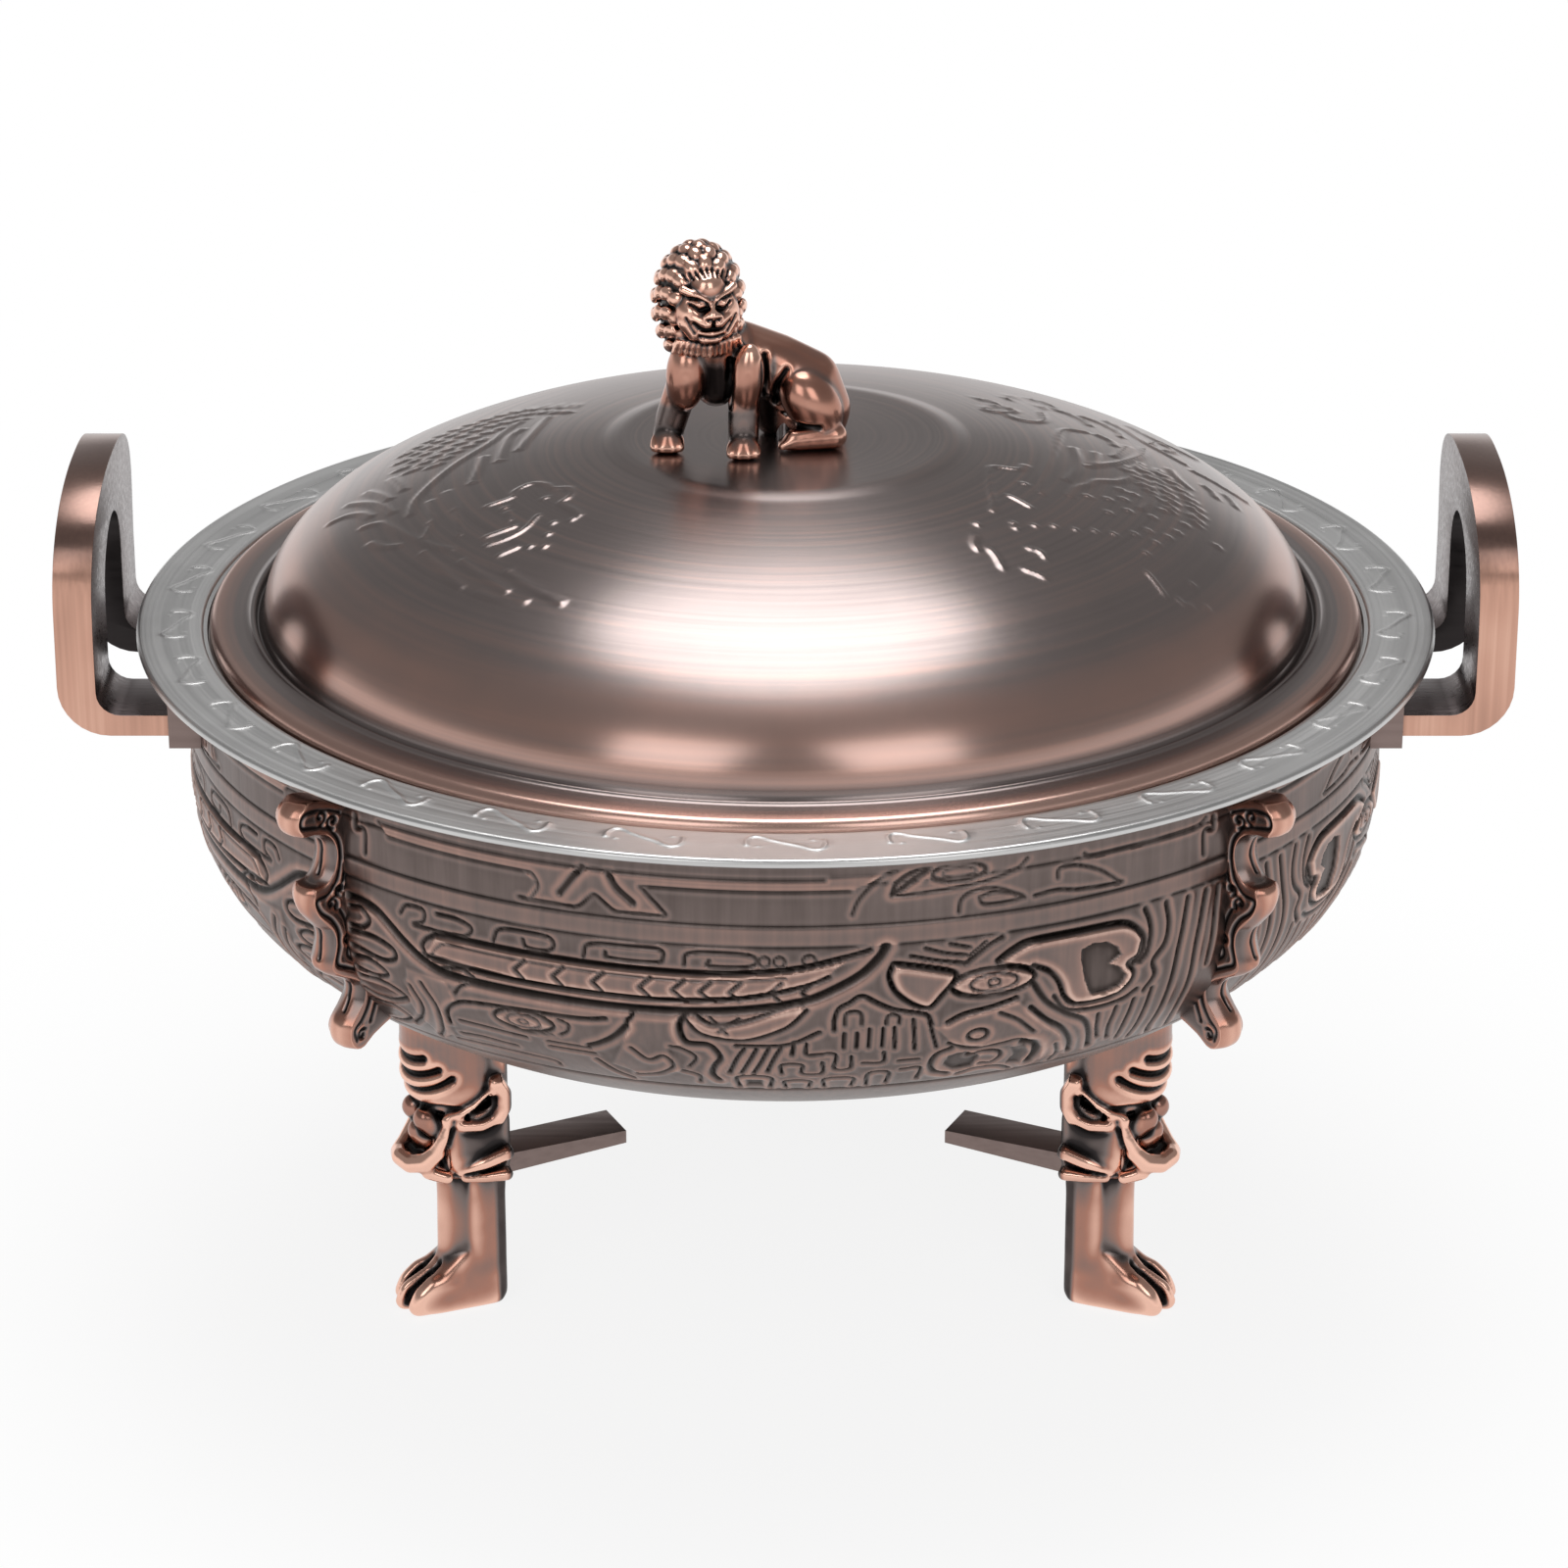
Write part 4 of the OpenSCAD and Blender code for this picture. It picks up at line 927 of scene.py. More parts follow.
def lid_profile():
    """Rows of the lid's upper face from its edge to the boss, and the boss's height"""
    t = np.radians(np.linspace(0, 90, 700))
    dome = np.stack([DOME_R * np.cos(t) ** (2 / DOME_FULLNESS),
                     FLANGE_Z + DOME_H * np.sin(t) ** (2 / DOME_FULLNESS)], 1)
    boss_z = np.interp(BOSS_R, dome[::-1, 0], dome[::-1, 1]) + BOSS_STEP
    reach = 4.0
    dome = dome[(dome[:, 0] > BOSS_R + reach) & (dome[:, 1] > FLANGE_Z + 1)]
    blend = np.linspace(reach, -reach, 9)[1:, None]
    foot = np.interp(BOSS_R + blend[:, 0], dome[::-1, 0], dome[::-1, 1]) + (reach - blend[:, 0]) * 0.1
    share = ramp(blend[:, 0], reach, -reach)
    step = np.stack([BOSS_R + blend[:, 0], foot * (1 - share) + boss_z * share], 1)
    rows = [np.array([[LID_EDGE_R, LID_EDGE_Z], [LID_EDGE_R, LID_EDGE_Z + 1.1]]),
            arc(LID_EDGE_R - 2.4, FLANGE_Z - 2.4, 2.4, 5, 85, 7),
            np.array([[143.5, FLANGE_Z + 0.02], [140.2, FLANGE_Z]]),
            arc(DOME_R + 3, FLANGE_Z - 0.3, 0.95, 30, 185, 8),
            np.array([[DOME_R + 1.7, FLANGE_Z - 1.0], [DOME_R + 1.1, FLANGE_Z - 1.1],
                      [DOME_R + 0.5, FLANGE_Z - 0.7]]), dome, step,
            np.array([[BOSS_R - 9, boss_z]])]
    return np.vstack(rows), boss_z


def make_lid():
    face, boss_z = lid_profile()
    length = run_of(face)
    rows = np.unique(np.r_[length[:25], np.arange(length[24], length[-10], 1.0), length[-10:]])
    outer = np.vstack([at_runs(face, rows), [[20, boss_z], [0, boss_z]]])
    under = at_runs(face, np.linspace(0, length[-1], 26))
    ahead = unit_steps(under)
    under = under + LID_T * np.stack([-ahead[:, 1], ahead[:, 0]], 1)
    under[:, 0] = np.minimum(under[:, 0], LID_EDGE_R - LID_T)
    profile = np.vstack([[[0, boss_z - LID_T], [20, boss_z - LID_T]], under[::-1], outer])
    # Columns are fine over the embossing and coarse between
    fine = np.radians(np.arange(27, 121, 0.38))
    azimuths = np.r_[np.linspace(-fine[0], fine[0], 40)[1:-1], fine,
                     np.linspace(fine[-1], 2 * math.pi - fine[-1], 60)[1:-1], 2 * math.pi - fine[::-1]]
    azimuths = np.r_[np.sort(azimuths), azimuths.min() + 2 * math.pi]
    a, r = np.meshgrid(azimuths, profile[:, 0], indexing="ij")
    x, y = r * np.sin(a), -r * np.cos(a)
    relief = np.zeros(a.shape)
    shown = np.zeros(len(profile), bool)
    shown[len(under) + 2:] = True
    shown &= (profile[:, 0] < 128) & (profile[:, 0] > 48)
    relief[:, shown] = lid_relief(x[:, shown].ravel(), y[:, shown].ravel()).reshape(-1, shown.sum())
    # Bright at the dome's foot and the flange's edge, dark in the groove between them
    tone = 0.5 + 0.22 * ramp(r, 112, 134) * (1 - ramp(r, 134.6, 135.6))
    tone -= 0.42 * np.exp(-(r - 136.6) ** 2)
    tone += 0.3 * ramp(r, 141, 148) - 0.1 * ramp(r, 137, 138) * (1 - ramp(r, 140, 141))
    mesh = azimuth_grid(azimuths, profile, True, -relief, tone + relief * 0.05)
    finished("lid_dome", mesh, "lid", lid_copper, ("lid",), 45)


make_lid()

# Food pan, whose rim carries S-scrolls

SCROLL_COUNT = 30
SCROLL_R = 157.5
SCROLL_HALF_ANGLE = 0.064
SCROLL = "-9,1.4 -9.2,-1 -8.5,-3 -7,-3.9 -5.2,-3.1 -3,-1.5 0,0 3,1.5 5.2,3.1 7,3.9 8.5,3 9.2,1 9,-1.4"


def make_pan():
    turn = 1.4
    scroll_rows = np.r_[166.9, 166.1, 164.6, 163.1, np.arange(162.2, 152.9, -0.46), 152.5]
    top = np.vstack([
        arc(PAN_RIM_R - 1.1, RIM_Z - 1.1, 1.1, -90, 80, 6),
        np.stack([scroll_rows, np.full(len(scroll_rows), RIM_Z)], 1),
        arc(PAN_OPEN_R + turn, RIM_Z - turn, turn, 90, 180, 3),
        [[150.6, 181.0], [150.2, 180.8], [145.0, 180.8], [144.1, 180.4], [143.9, 179.6]],
        arc(121.0, 140.0, 18, 0, -90, 5), [[0, 122]]])
    under = points("0,121 121,121 131,123.2 139.2,132 140,140 143,179 143.6,179.8 149,179.8 149.7,181 "
                   "149.9,182.6 152,183 165.5,183 166.6,182.6")
    profile = np.vstack([under, top, under[:1]])[:-1]
    half = math.pi / SCROLL_COUNT
    reach = SCROLL_HALF_ANGLE
    local = np.r_[np.linspace(-half, -reach, 4), np.linspace(-reach, reach, 46)[1:],
                  np.linspace(reach, half, 4)[1:]]
    steps = len(local) - 1
    turns = [2 * half * k + local[:-1] for k in range(SCROLL_COUNT)]
    azimuths = np.r_[np.concatenate(turns), 2 * math.pi - half]
    on_rim = np.zeros(len(profile), bool)
    on_rim[len(under):] = True
    on_rim &= (profile[:, 0] > 151.9) & (profile[:, 0] < 166.95) & (profile[:, 1] > RIM_Z - 0.01)
    x, y = np.meshgrid(local * SCROLL_R, profile[on_rim, 0] - SCROLL_R, indexing="ij")
    relief = Relief(x.ravel(), y.ravel())
    relief.ridge(curved(points(SCROLL)), 0.5, 0.27)
    relief.ridge(points("-5,-2.6 5,2.6"), 0.5, 0.1)
    for at in ((-6.4, 1.9), (6.4, -1.9)):
        relief.ridge(mark(*at), 0.5, 0.18)
    one = relief.height().reshape(x.shape)
    full = np.zeros((len(azimuths), len(profile)))
    for k in range(SCROLL_COUNT):
        full[k * steps:(k + 1) * steps + 1, on_rim] = one
    mesh = azimuth_grid(azimuths, profile, True, -full)
    finished("food_pan_scrolled", mesh, "pan", pan_steel, ("food_pan",), 50)


make_pan()

# Fins: cast scrolls that stand out of the bowl, drawn in (distance from the wall, height from the rim)

FIN_T = 8.5
FIN_RIDGE = points(
    "-6,-8.5 1.1,-8.8 6.1,-6.6 11.2,-6.1 14.7,-8.8 15.2,-12 13.2,-14.8 9.1,-15.2 5.2,-17.2 3.6,-21.5 "
    "4.7,-26 7.3,-29 10.3,-29.4 11.4,-32 10.2,-36 7.6,-39.5 5.5,-42 4.9,-45 5.6,-48.5 6.5,-51.5 "
    "4.1,-54.2 -0.2,-56.5 -3.2,-59 -3.5,-62.5 -1.2,-66 1.2,-69 1.5,-72.5 -0.3,-75.4 -4.3,-76 -8,-73.5 "
    "-20,-66 -14,-50 -9,-30")
FIN_BORDER = points(
    "0.9,-11.3 5.8,-9.2 10.6,-8.7 12.5,-10 12.4,-12 9.5,-12.8 5,-14.2 1.6,-18 0.9,-23 2,-28 5,-31.5 "
    "8.6,-32.3 7.6,-35.5 4.4,-38.5 2.5,-42 2.2,-46 3.1,-50.5 0.6,-52.3 -3.5,-54.7 -6.4,-58 -6.7,-63.2 "
    "-4.2,-67.7 -1.7,-70.3 -2.2,-73")
FIN_INNER_LINE = points(
    "-0.2,-25 0.4,-29 2.2,-32 4.4,-33.5 1.6,-37 0,-41 -0.6,-46 -0.2,-49.5 -4,-52.5 -8.4,-57 -9,-63 "
    "-6.6,-69")
# Place, radius, turns, start in degrees and direction of each small spiral
FIN_SPIRALS = ((6.6, -10.9, 1.9, 1.2, 200, 1), (2.9, -12.9, 1.9, 1.3, 20, -1), (4.2, -34.4, 1.9, 1.2, 160, 1),
               (1.3, -31.4, 1.6, 1.2, 0, -1), (-0.4, -45.2, 1.5, 1.2, 90, 1), (-3.9, -72, 1.5, 1.1, 90, 1))


def dish_radius(z):
    """Radius of the bowl's outer face at the height z"""
    drop = np.clip((RIM_Z - BOWL_UPRIGHT - z) / BOWL_DISH, 0, 1)
    return np.where(drop <= 0, BOWL_R, FLAME_R + (BOWL_R - FLAME_R)
                    * np.sqrt(np.clip(1 - drop ** BOWL_FULLNESS, 0, 1)))


def make_fin():
    bm = bmesh.new()
    ring = curved(FIN_RIDGE, 4, closed=True)[:-1]
    verts = [bm.verts.new((x + BOWL_R, -FIN_T / 2, z + RIM_Z)) for x, z in ring]
    face = bm.faces.new(verts)
    side = bmesh.ops.extrude_face_region(bm, geom=[face])
    far = [g for g in side["geom"] if isinstance(g, bmesh.types.BMVert)]
    bmesh.ops.translate(bm, vec=(0, FIN_T, 0), verts=far)
    bmesh.ops.recalc_face_normals(bm, faces=bm.faces)
    mesh = fused(bm, 0.33, 20)
    # The outer edge is rolled over from side to side
    p, n = places(mesh), normals(mesh)
    outer = ramp(n[:, 0], -0.2, 0.5) * ramp(np.abs(p[:, 1]), 0.5, FIN_T / 2) ** 1.5
    move(mesh, softened(mesh, p - np.array((1.5, 0, 0)) * outer[:, None], 6))
    for depth, path in ((0.45, FIN_BORDER), (0.35, FIN_INNER_LINE)):
        path = curved(path) + (BOWL_R, RIM_Z)
        for side in (-1, 1):
            carve(mesh, path, (0, side, 0), 0.45, depth, 0.15)
    for x, z, r, turns, start, hand in FIN_SPIRALS:
        path = spiral(x + BOWL_R, z + RIM_Z, r, turns, start, hand)
        for side in (-1, 1):
            carve(mesh, path, (0, side, 0), 0.42, 0.7, 0.15)
    # Dark lines in the hollows of the outer edge
    for top, foot in ((-18.5, -27), (-41.5, -49.5), (-58.5, -66)):
        line = points(f"0.6,{top} 0,{(top + foot) / 2} 0.6,{foot}") + (0, RIM_Z)
        carve(mesh, line, (1, 0, 0), 0.5, 0.6, 0.1)
    move(mesh, softened(mesh, places(mesh), 2))
    tone_from_form(mesh, 0.7, 0.5, 0.53, 7, 90)
    # The flat sides stay darker than the rolled outer edge
    tone = tone_of(mesh)
    p, n = places(mesh), normals(mesh)
    reach = p[:, 0] - dish_radius(p[:, 2])
    tone -= 0.16 * ramp(np.abs(n[:, 1]), 0.7, 0.95)
    tone -= 0.12 * ramp(n[:, 0], 0.3, 0.8) * (1 - ramp(reach, 7, 11))
    tone += 0.1 * ramp(n[:, 0], 0.3, 0.9) * ramp(reach, 9, 13)
    set_tone(mesh, tone)
    return mesh


def pull_out_of_bowl(mesh, root=1.2):
    """Moves what lies inside the bowl's wall out to just under its face"""
    p = places(mesh)
    r = np.hypot(p[:, 0], p[:, 1])
    least = dish_radius(p[:, 2]) - root
    low = r < least
    p[low, :2] *= (least / np.maximum(r, 1e-6))[low, None]
    move(mesh, p)


fin_mesh = make_fin()
pull_out_of_bowl(fin_mesh)
for name, place in FIN_PLACES.items():
    finished(f"fin_{name}_cast", turned_copy(fin_mesh, place), "stand", cast_copper,
             (f"fin_{name}",))

# Legs, worked in (distance from the flat back, side, height)


# The brow's three crescents: half their length round the head, and the height at the middle and at the ends
CRESCENTS = ((16.2, 66.6, 71.7), (12.6, 71.3, 74.2), (8.4, 75.6, 77.0))
BROW_R = 13.0
BROW_X = 12.5


# The eye's thick rim, which rises to the back round a dark hollow: the radius and the path of each roll
EYE_RIM = (
    (1.3, ((17, 8.6, 58.9), (13.5, 10.9, 60.6), (10, 12, 62.8), (6.5, 12.4, 65.6), (4.4, 12.2, 68.4))),
    (1.7, ((17, 8.6, 58.4), (13, 10.6, 57.0), (8.5, 11.4, 56.6), (4, 11.8, 58.2))),
    (2.2, ((4, 11.8, 58.2), (2.4, 11.8, 61), (2.4, 12, 65), (4.4, 12.2, 68.4))))


def leg_mask_side(bm, side):
    """Eye, nose, lip and jaw on one side of the mask"""
    for r, path in EYE_RIM:
        add_roll(bm, on_side(side, *((x, y, z, r) for x, y, z in path)))
    # Nose ball, set in a dark recess
    add_form(bm, on_side(side, (21.2, 4.0, 58.0, 3.4), (19.0, 4.6, 55.8, 3.5)), 4)
    # Upper lip, a broad roll that sweeps from the nose down and out to a round tip
    add_roll(bm, on_side(side, (17.2, 9.2, 57.2, 1.2), (18.4, 9.3, 53.6, 1.7), (20.2, 8.6, 49.6, 2.2),
                         (22.6, 6.9, 46.6, 2.6), (25.8, 4.0, 45.6, 2.5), (27.0, 0, 46.2, 2.5)))
    add_form(bm, on_side(side, (22, 7.0, 43.6, 1.9), (17.5, 8.6, 41.8, 1.8)), 3)
    # Two rolls of the lower jaw, which open towards the front
    add_form(bm, on_side(side, (13.5, 9.4, 42.9, 1.3), (8, 11, 45.2, 1.9), (1.8, 11.9, 47.4, 2.1)), 3)
    add_form(bm, on_side(side, (12.5, 9.4, 41.0, 1.3), (7, 10.8, 40.9, 1.6), (1.8, 11.6, 40.9, 1.8)), 3)


def leg_mask(bm):
    # Domed brow and the block behind it
    add_form(bm, [(BROW_X, 0, 70, BROW_R), (BROW_X, 0, 84, BROW_R), (11, 0, 90, 12.5)], 4)
    add_block(bm, (0, -11.4, 56), (12, 11.4, 97.5), 2.5)
    for side in (-1, 1):
        leg_mask_side(bm, side)
    add_form(bm, [(19, 0, 50.6, 4.6), (21.5, 0, 53, 3.2)], 4)
    add_form(bm, [(17, 0, 45.5, 4), *both_sides((25, 4, 45.6, 1.6))], 3)
    # Cheeks and jaw
    add_form(bm, both_sides((1.5, 9.8, 44, 1.5), (1.5, 9.8, 57, 1.5), (13.5, 7.2, 45, 3.2),
                            (14, 7.4, 55, 3.4)), 3)
    add_form(bm, [*both_sides((1.2, 10.2, 41.6, 1.2), (14, 6.5, 41.6, 1.8)), (19, 0, 42.6, 2)], 3)


def leg_shank_and_foot(bm):
    # Shank with its rounded front
    add_form(bm, both_sides((1.2, 6.0, 3, 1.2), (1.2, 6.0, 45, 1.2), (8.6, 5.2, 3, 2.0),
                            (8.6, 5.2, 45, 2.0)), 3)
    add_form(bm, [*both_sides((8, 4.4, 3, 2.2), (8, 4.4, 45, 2.2)), (12.2, 0, 14, 4.3),
                  (11.8, 0, 45, 4.4)], 4)
    add_form(bm, [(13.6, 0, 13, 3.8), (12.7, 0, 30, 3.7), (12.8, 0, 45, 4.1)], 4)
    # Foot and its three toes
    add_form(bm, [*both_sides((2.6, 5.8, 9, 1.9), (9.5, 4.6, 16.5, 2.0), (3, 5.8, 2.2, 2.2),
                              (19.5, 4.7, 8.4, 3), (20.5, 4.8, 2.4, 2.4)), (15.5, 0, 13.5, 2.6)], 4)
    for toe in (-1, 0, 1):
        reach = 27.4 - abs(toe) * 1.8
        add_form(bm, [(14, toe * 4.4, 9.4, 3.4), (20.5, toe * 4.9, 8.6, 3.2),
                      (reach - 1.8, toe * 5.0, 6.2, 3.0), (reach - 0.2, toe * 5.0, 3.4, 2.8),
                      (15, toe * 4.6, 2.6, 2.6)], 4)


def carve_leg(mesh):
    """Cuts the brow's crescents, the lines of the mask and those between the toes"""
    front, up = (1, 0, 0), (0, 0, 1)
    for half, low, high in CRESCENTS:
        t = np.linspace(-1, 1, 21)
        path = np.stack([t * half, low + (high - low) * np.abs(t) ** 2.2], 1)
        carve(mesh, path, None, 0.95, 1.6, 0.25, wrap=(LEG_BACK_R + BROW_X, 0, BROW_R))
    for side in (-1, 1):
        beside = (0, side, 0)
        eye = curved(points("91,65.8 90.4,63 91.6,61 94.4,60.2 98,59.7 96,61.4 93.4,63.8"), closed=True)
        sink(mesh, eye, beside, 2.4, 0.9)
        # Dark recess between the cheek, the lip and the nose, and the hollow of the cheek
        carve(mesh, curved(points("100.4,58.6 100.8,54.8 102.6,50.6")), beside, 0.7, 0.6)
        carve(mesh, points("97.5,42.3 93,43.0 87,43.9"), beside, 0.6, 0.8)
        # Groove over the nose, under the brow
        carve(mesh, points(f"{side * 0.6},62.0 {side * 5},62.2 {side * 9.6},62.4"), front, 0.8, 1.4, 0.05)
        # Grooves between the toes, each from a round hollow on the instep
        carve(mesh, points(f"{side * 2.5},0 {side * 2.5},6 {side * 2.4},11.5"), front, 0.75, 1.9)
        between = points(f"18.5,{side * 2.4} 23,{side * 2.5} 30,{side * 2.6}") + (LEG_BACK_R, 0)
        carve(mesh, between, up, 0.8, 1.6, keep=lambda q: q[:, 2] < 15)


def trim_leg(mesh):
    """Cuts the top to the bowl, and the back and the sole flat"""
    p = places(mesh)
    r = np.clip(np.hypot(p[:, 0], p[:, 1]), FLAME_R, BOWL_R)
    drop = np.sqrt(np.clip(1 - ((r - FLAME_R) / (BOWL_R - FLAME_R)) ** 2, 0, 1)) ** (2 / BOWL_FULLNESS)
    under = RIM_Z - BOWL_UPRIGHT - BOWL_DISH * drop + 0.2
    p[:, 2] = np.clip(np.minimum(p[:, 2], under), 0, None)
    p[:, 0] = np.maximum(p[:, 0], LEG_BACK_R)
    move(mesh, p)


def tone_leg(mesh):
    """Grey brow and cheeks, dark nose, painted shade under the jaw, a darker instep and a dark back"""
    tone_from_form(mesh, 0.85, 0.8, 0.58, 9, 120)
    tone = tone_of(mesh)
    p = places(mesh)
    x, y, z = p[:, 0] - LEG_BACK_R, np.abs(p[:, 1]), p[:, 2]
    brow = ramp(z, 74, 80) * ramp(x, 1, 4) + ramp(z, 66, 70) * ramp(y, 10.5, 12.3) * ramp(x, 6, 9)
    cheek = ramp(z, 46, 49) * (1 - ramp(z, 54, 56)) * ramp(y, 8.4, 9.6) * (1 - ramp(x, 14, 16))
    nose = ramp(z, 51, 53) * (1 - ramp(z, 60.5, 62)) * ramp(x, 17, 19) * (1 - ramp(y, 7, 8.4))
    # Painted shade under the jaw, where the mask overhangs the shank
    painted_shade_under_jaw = ramp(z, 27, 38) * (1 - ramp(z, 40, 42))
    instep = ramp(x, 13, 16) * ramp(z, 8, 10) * (1 - ramp(z, 14, 18))
    tone -= 0.17 * np.clip(brow, 0, 1) + 0.2 * cheek + 0.38 * nose + 0.16 * (painted_shade_under_jaw + instep)
    # The dark back reaches further round the shank than round the mask
    edge = 1.7 * (1 - ramp(z, 36, 40))
    back = 1 - np.clip((x - 0.9 - edge) / 1.4, 0, 1)
    set_tone(mesh, tone * (1 - back) + 0.3 * back)


def make_leg():
    bm = bmesh.new()
    leg_mask(bm)
    leg_shank_and_foot(bm)
    bmesh.ops.translate(bm, vec=(LEG_BACK_R, 0, 0), verts=bm.verts)
    mesh = fused(bm, 0.45, 8)
    # The shank and the foot are smoother than the mask
    p = places(mesh)
    low = 1 - ramp(p[:, 2], 32, 37)[:, None]
    move(mesh, p * (1 - low) + softened(mesh, p, 22) * low)
    carve_leg(mesh)
    p = places(mesh)
    foot = 1 - ramp(p[:, 2], 14, 17)[:, None]
    move(mesh, softened(mesh, p, 2) * (1 - foot) + softened(mesh, p, 6) * foot)
    trim_leg(mesh)
    tone_leg(mesh)
    return mesh


leg_mesh = make_leg()
for name, place in LEG_PLACES.items():
    finished(f"leg_{name}_cast", turned_copy(leg_mesh, place), "stand", cast_copper,
             (f"leg_{name}",))

# Lion, drawn in its own millimetres over the boss and scaled to the one on the lid

LION_SCALE = 54 / 54.6
BOSS_Z = float(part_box("lion_finial")[0].z) / MM
# Shoulder, width, slant and paw of the two fore legs
FORE_LEGS = ((-25.8, -12.4, 4.9, 0.6, -30.4, -11.4), (-10.0, -14.4, 4.0, 0.0, -10.8, -16.6))


def add_egg(bm, at, halves, tilt=0.0):
    """A rounded muscle: half its length along X, Y and Z, then tipped in the XZ plane by degrees"""
    turn = Matrix.Rotation(math.radians(tilt), 4, "Y")
    bmesh.ops.create_icosphere(bm, subdivisions=5, radius=1,
                               matrix=Matrix.Translation(at) @ turn @ Matrix.Diagonal((*halves, 1)))


def unit(vector):
    return vector / np.linalg.norm(vector)


def lion_body(bm):
    # Chest, back and haunches
    add_form(bm, [(-18, -7, 16, 5.4), (-19, -7, 28, 8.4), (-12, -3, 24, 7.2)], 3)
    add_form(bm, [(-12, -3, 25, 7.2), (-2, -1.5, 20.6, 7.4), (6, -1, 15.5, 8.2)], 3)
    add_form(bm, [(6, -1, 15.5, 8.2), (9.3, -1, 8.2, 7.6), (10, -1, 5.4, 6.2)], 3)
    # Belly down to the lid, behind the legs, darkened with painted shade in tone_lion
    add_form(bm, [(-5, 2, 14, 5.5), (-3.5, 3, 4, 4.6), (5, 2, 5, 5.5)], 3)
    # Shoulders, fore legs and paws
    for x, y, wide, slant, paw_x, paw_y in FORE_LEGS:
        add_egg(bm, (x + 0.3, y + 0.4, 20.4), (wide * 1.06, wide * 1.08, 9.4), 4 - 4 * slant)
        add_form(bm, [(x - 0.4, y + 2.4, 18, 4.3), (paw_x + 1.6 * slant, paw_y + 3.2, 8, 4.1),
                      (paw_x, paw_y + 2.8, 3.6, 3.9)], 4)
        add_form(bm, [(paw_x, paw_y + 2.2, 3.2, 4.1), (paw_x, paw_y, 2.6, 3.6)], 4)
        for toe in (-1.5, -0.5, 0.5, 1.5):
            add_form(bm, [(paw_x + toe * 2.0, paw_y - 0.6, 3.0, 1.5),
                          (paw_x + toe * 2.15, paw_y - 3.4 + abs(toe) * 0.7, 1.5, 1.45)], 3)
    for side in (-1, 1):
        # Round thigh over the foot that lies flat
        add_egg(bm, (6.6, side * 6.6 - 1, 11.6), (6.9, 6.6, 10.0), -38)
        add_egg(bm, (7.2, side * 8.6 - 1, 10.4), (3.6, 4.0, 9.6), -46)
        add_form(bm, [(12.6, side * 8.8 - 1, 3.4, 3.4), (2.2, side * 10.6 - 1, 2.9, 2.9)], 4)
        for toe in (-1, 0, 1):
            add_form(bm, [(1.4, side * 10.6 - 1 + toe * 1.6, 2.6, 1.5),
                          (-1.1, side * 10.6 - 1 + toe * 1.7, 1.6, 1.2)], 3)


def lion_head(bm):
    heart, size = np.array((-22.3, -6.0, 38.0)), np.array((11.1, 10.9, 15.3))
    add_form(bm, [(-22.1, -6.5, 42.9, 10.1), (-22.6, -5.5, 33, 9.4)], 4)
    gaze = math.radians(16)
    face_way = unit(np.array((math.sin(gaze), -math.cos(gaze), 0.12)))
    right = unit(np.cross(face_way, (0, 0, 1.0)))
    up = np.cross(right, face_way)
    # Rows of flat locks laid like scales, each row further from the face
    for k, turn in enumerate(range(47, 170, 16)):
        angle = math.radians(turn)
        count = max(int(round(2 * math.pi * math.sin(angle) * 12.8 / 4.1)), 5)
        for i in range(count):
            b = 2 * math.pi * (i + 0.5 * (k % 2)) / count
            out = math.cos(b) * up + math.sin(b) * right
            way = math.cos(angle) * face_way + math.sin(angle) * out
            at = heart + way * size
            normal = unit(way / size)
            onward = math.cos(angle) * out - math.sin(angle) * face_way
            if at[2] >= 24:
                add_curl(bm, at + normal * 0.15, normal, onward - np.array((0, 0, 0.25)), (1.9, 2.5, 1.35))
    # Face: a broad smooth mask with a bare forehead, cheeks, muzzle and chin
    base = heart + face_way * 8.6

    def put(across, rise, ahead, r):
        return (*(base + right * across + up * rise + face_way * ahead), r)

    add_form(bm, [put(0, 5.2, 0.2, 4.8), put(-3.4, -1.0, -0.4, 5.0), put(3.4, -1.0, -0.4, 5.0),
                  put(0, -4.0, 0, 4.6)], 4)
    add_form(bm, [put(0, 3.0, 3.6, 1.2), put(0, -0.6, 5.9, 1.3)], 3)
    add_form(bm, [put(-1.5, -1.3, 5.6, 1.1), put(1.5, -1.3, 5.6, 1.1), put(0, -0.9, 6.4, 1.0)], 3)
    for side in (-1, 1):
        # Slanted brow, eyeball, muzzle and cheek
        add_form(bm, [put(side * 1.6, 2.7, 4.9, 0.8), put(side * 4.6, 4.6, 3.4, 1.0),
                      put(side * 6.6, 5.6, 1.8, 1.1)], 3)
        add_form(bm, [put(side * 3.4, 1.7, 3.9, 1.15)], 3)
        add_form(bm, [put(side * 1.5, -2.9, 4.9, 1.6), put(side * 4.4, -1.6, 3.4, 1.3),
                      put(side * 6.4, 0.2, 1.9, 1.0)], 3)
        add_form(bm, [put(side * 5.6, -2.8, 0.9, 2.6), put(side * 3.8, -5.6, 1.0, 2.4)], 3)
    add_form(bm, [put(-2.6, -5.4, 3.4, 0.95), put(0, -5.9, 4.0, 1.0), put(2.6, -5.4, 3.4, 0.95)], 3)
    add_form(bm, [put(-1.6, -7.2, 2.2, 1.6), put(1.6, -7.2, 2.2, 1.6)], 3)
    # Fringe under the chin
    for i in range(-6, 7):
        add_form(bm, [put(i * 1.35, -9.4 + abs(i) * 0.22, 1.6 - abs(i) * 0.35, 0.75),
                      put(i * 1.5, -12.4 + abs(i) * 0.25, 1.0 - abs(i) * 0.4, 0.6)])
    return base, right, up


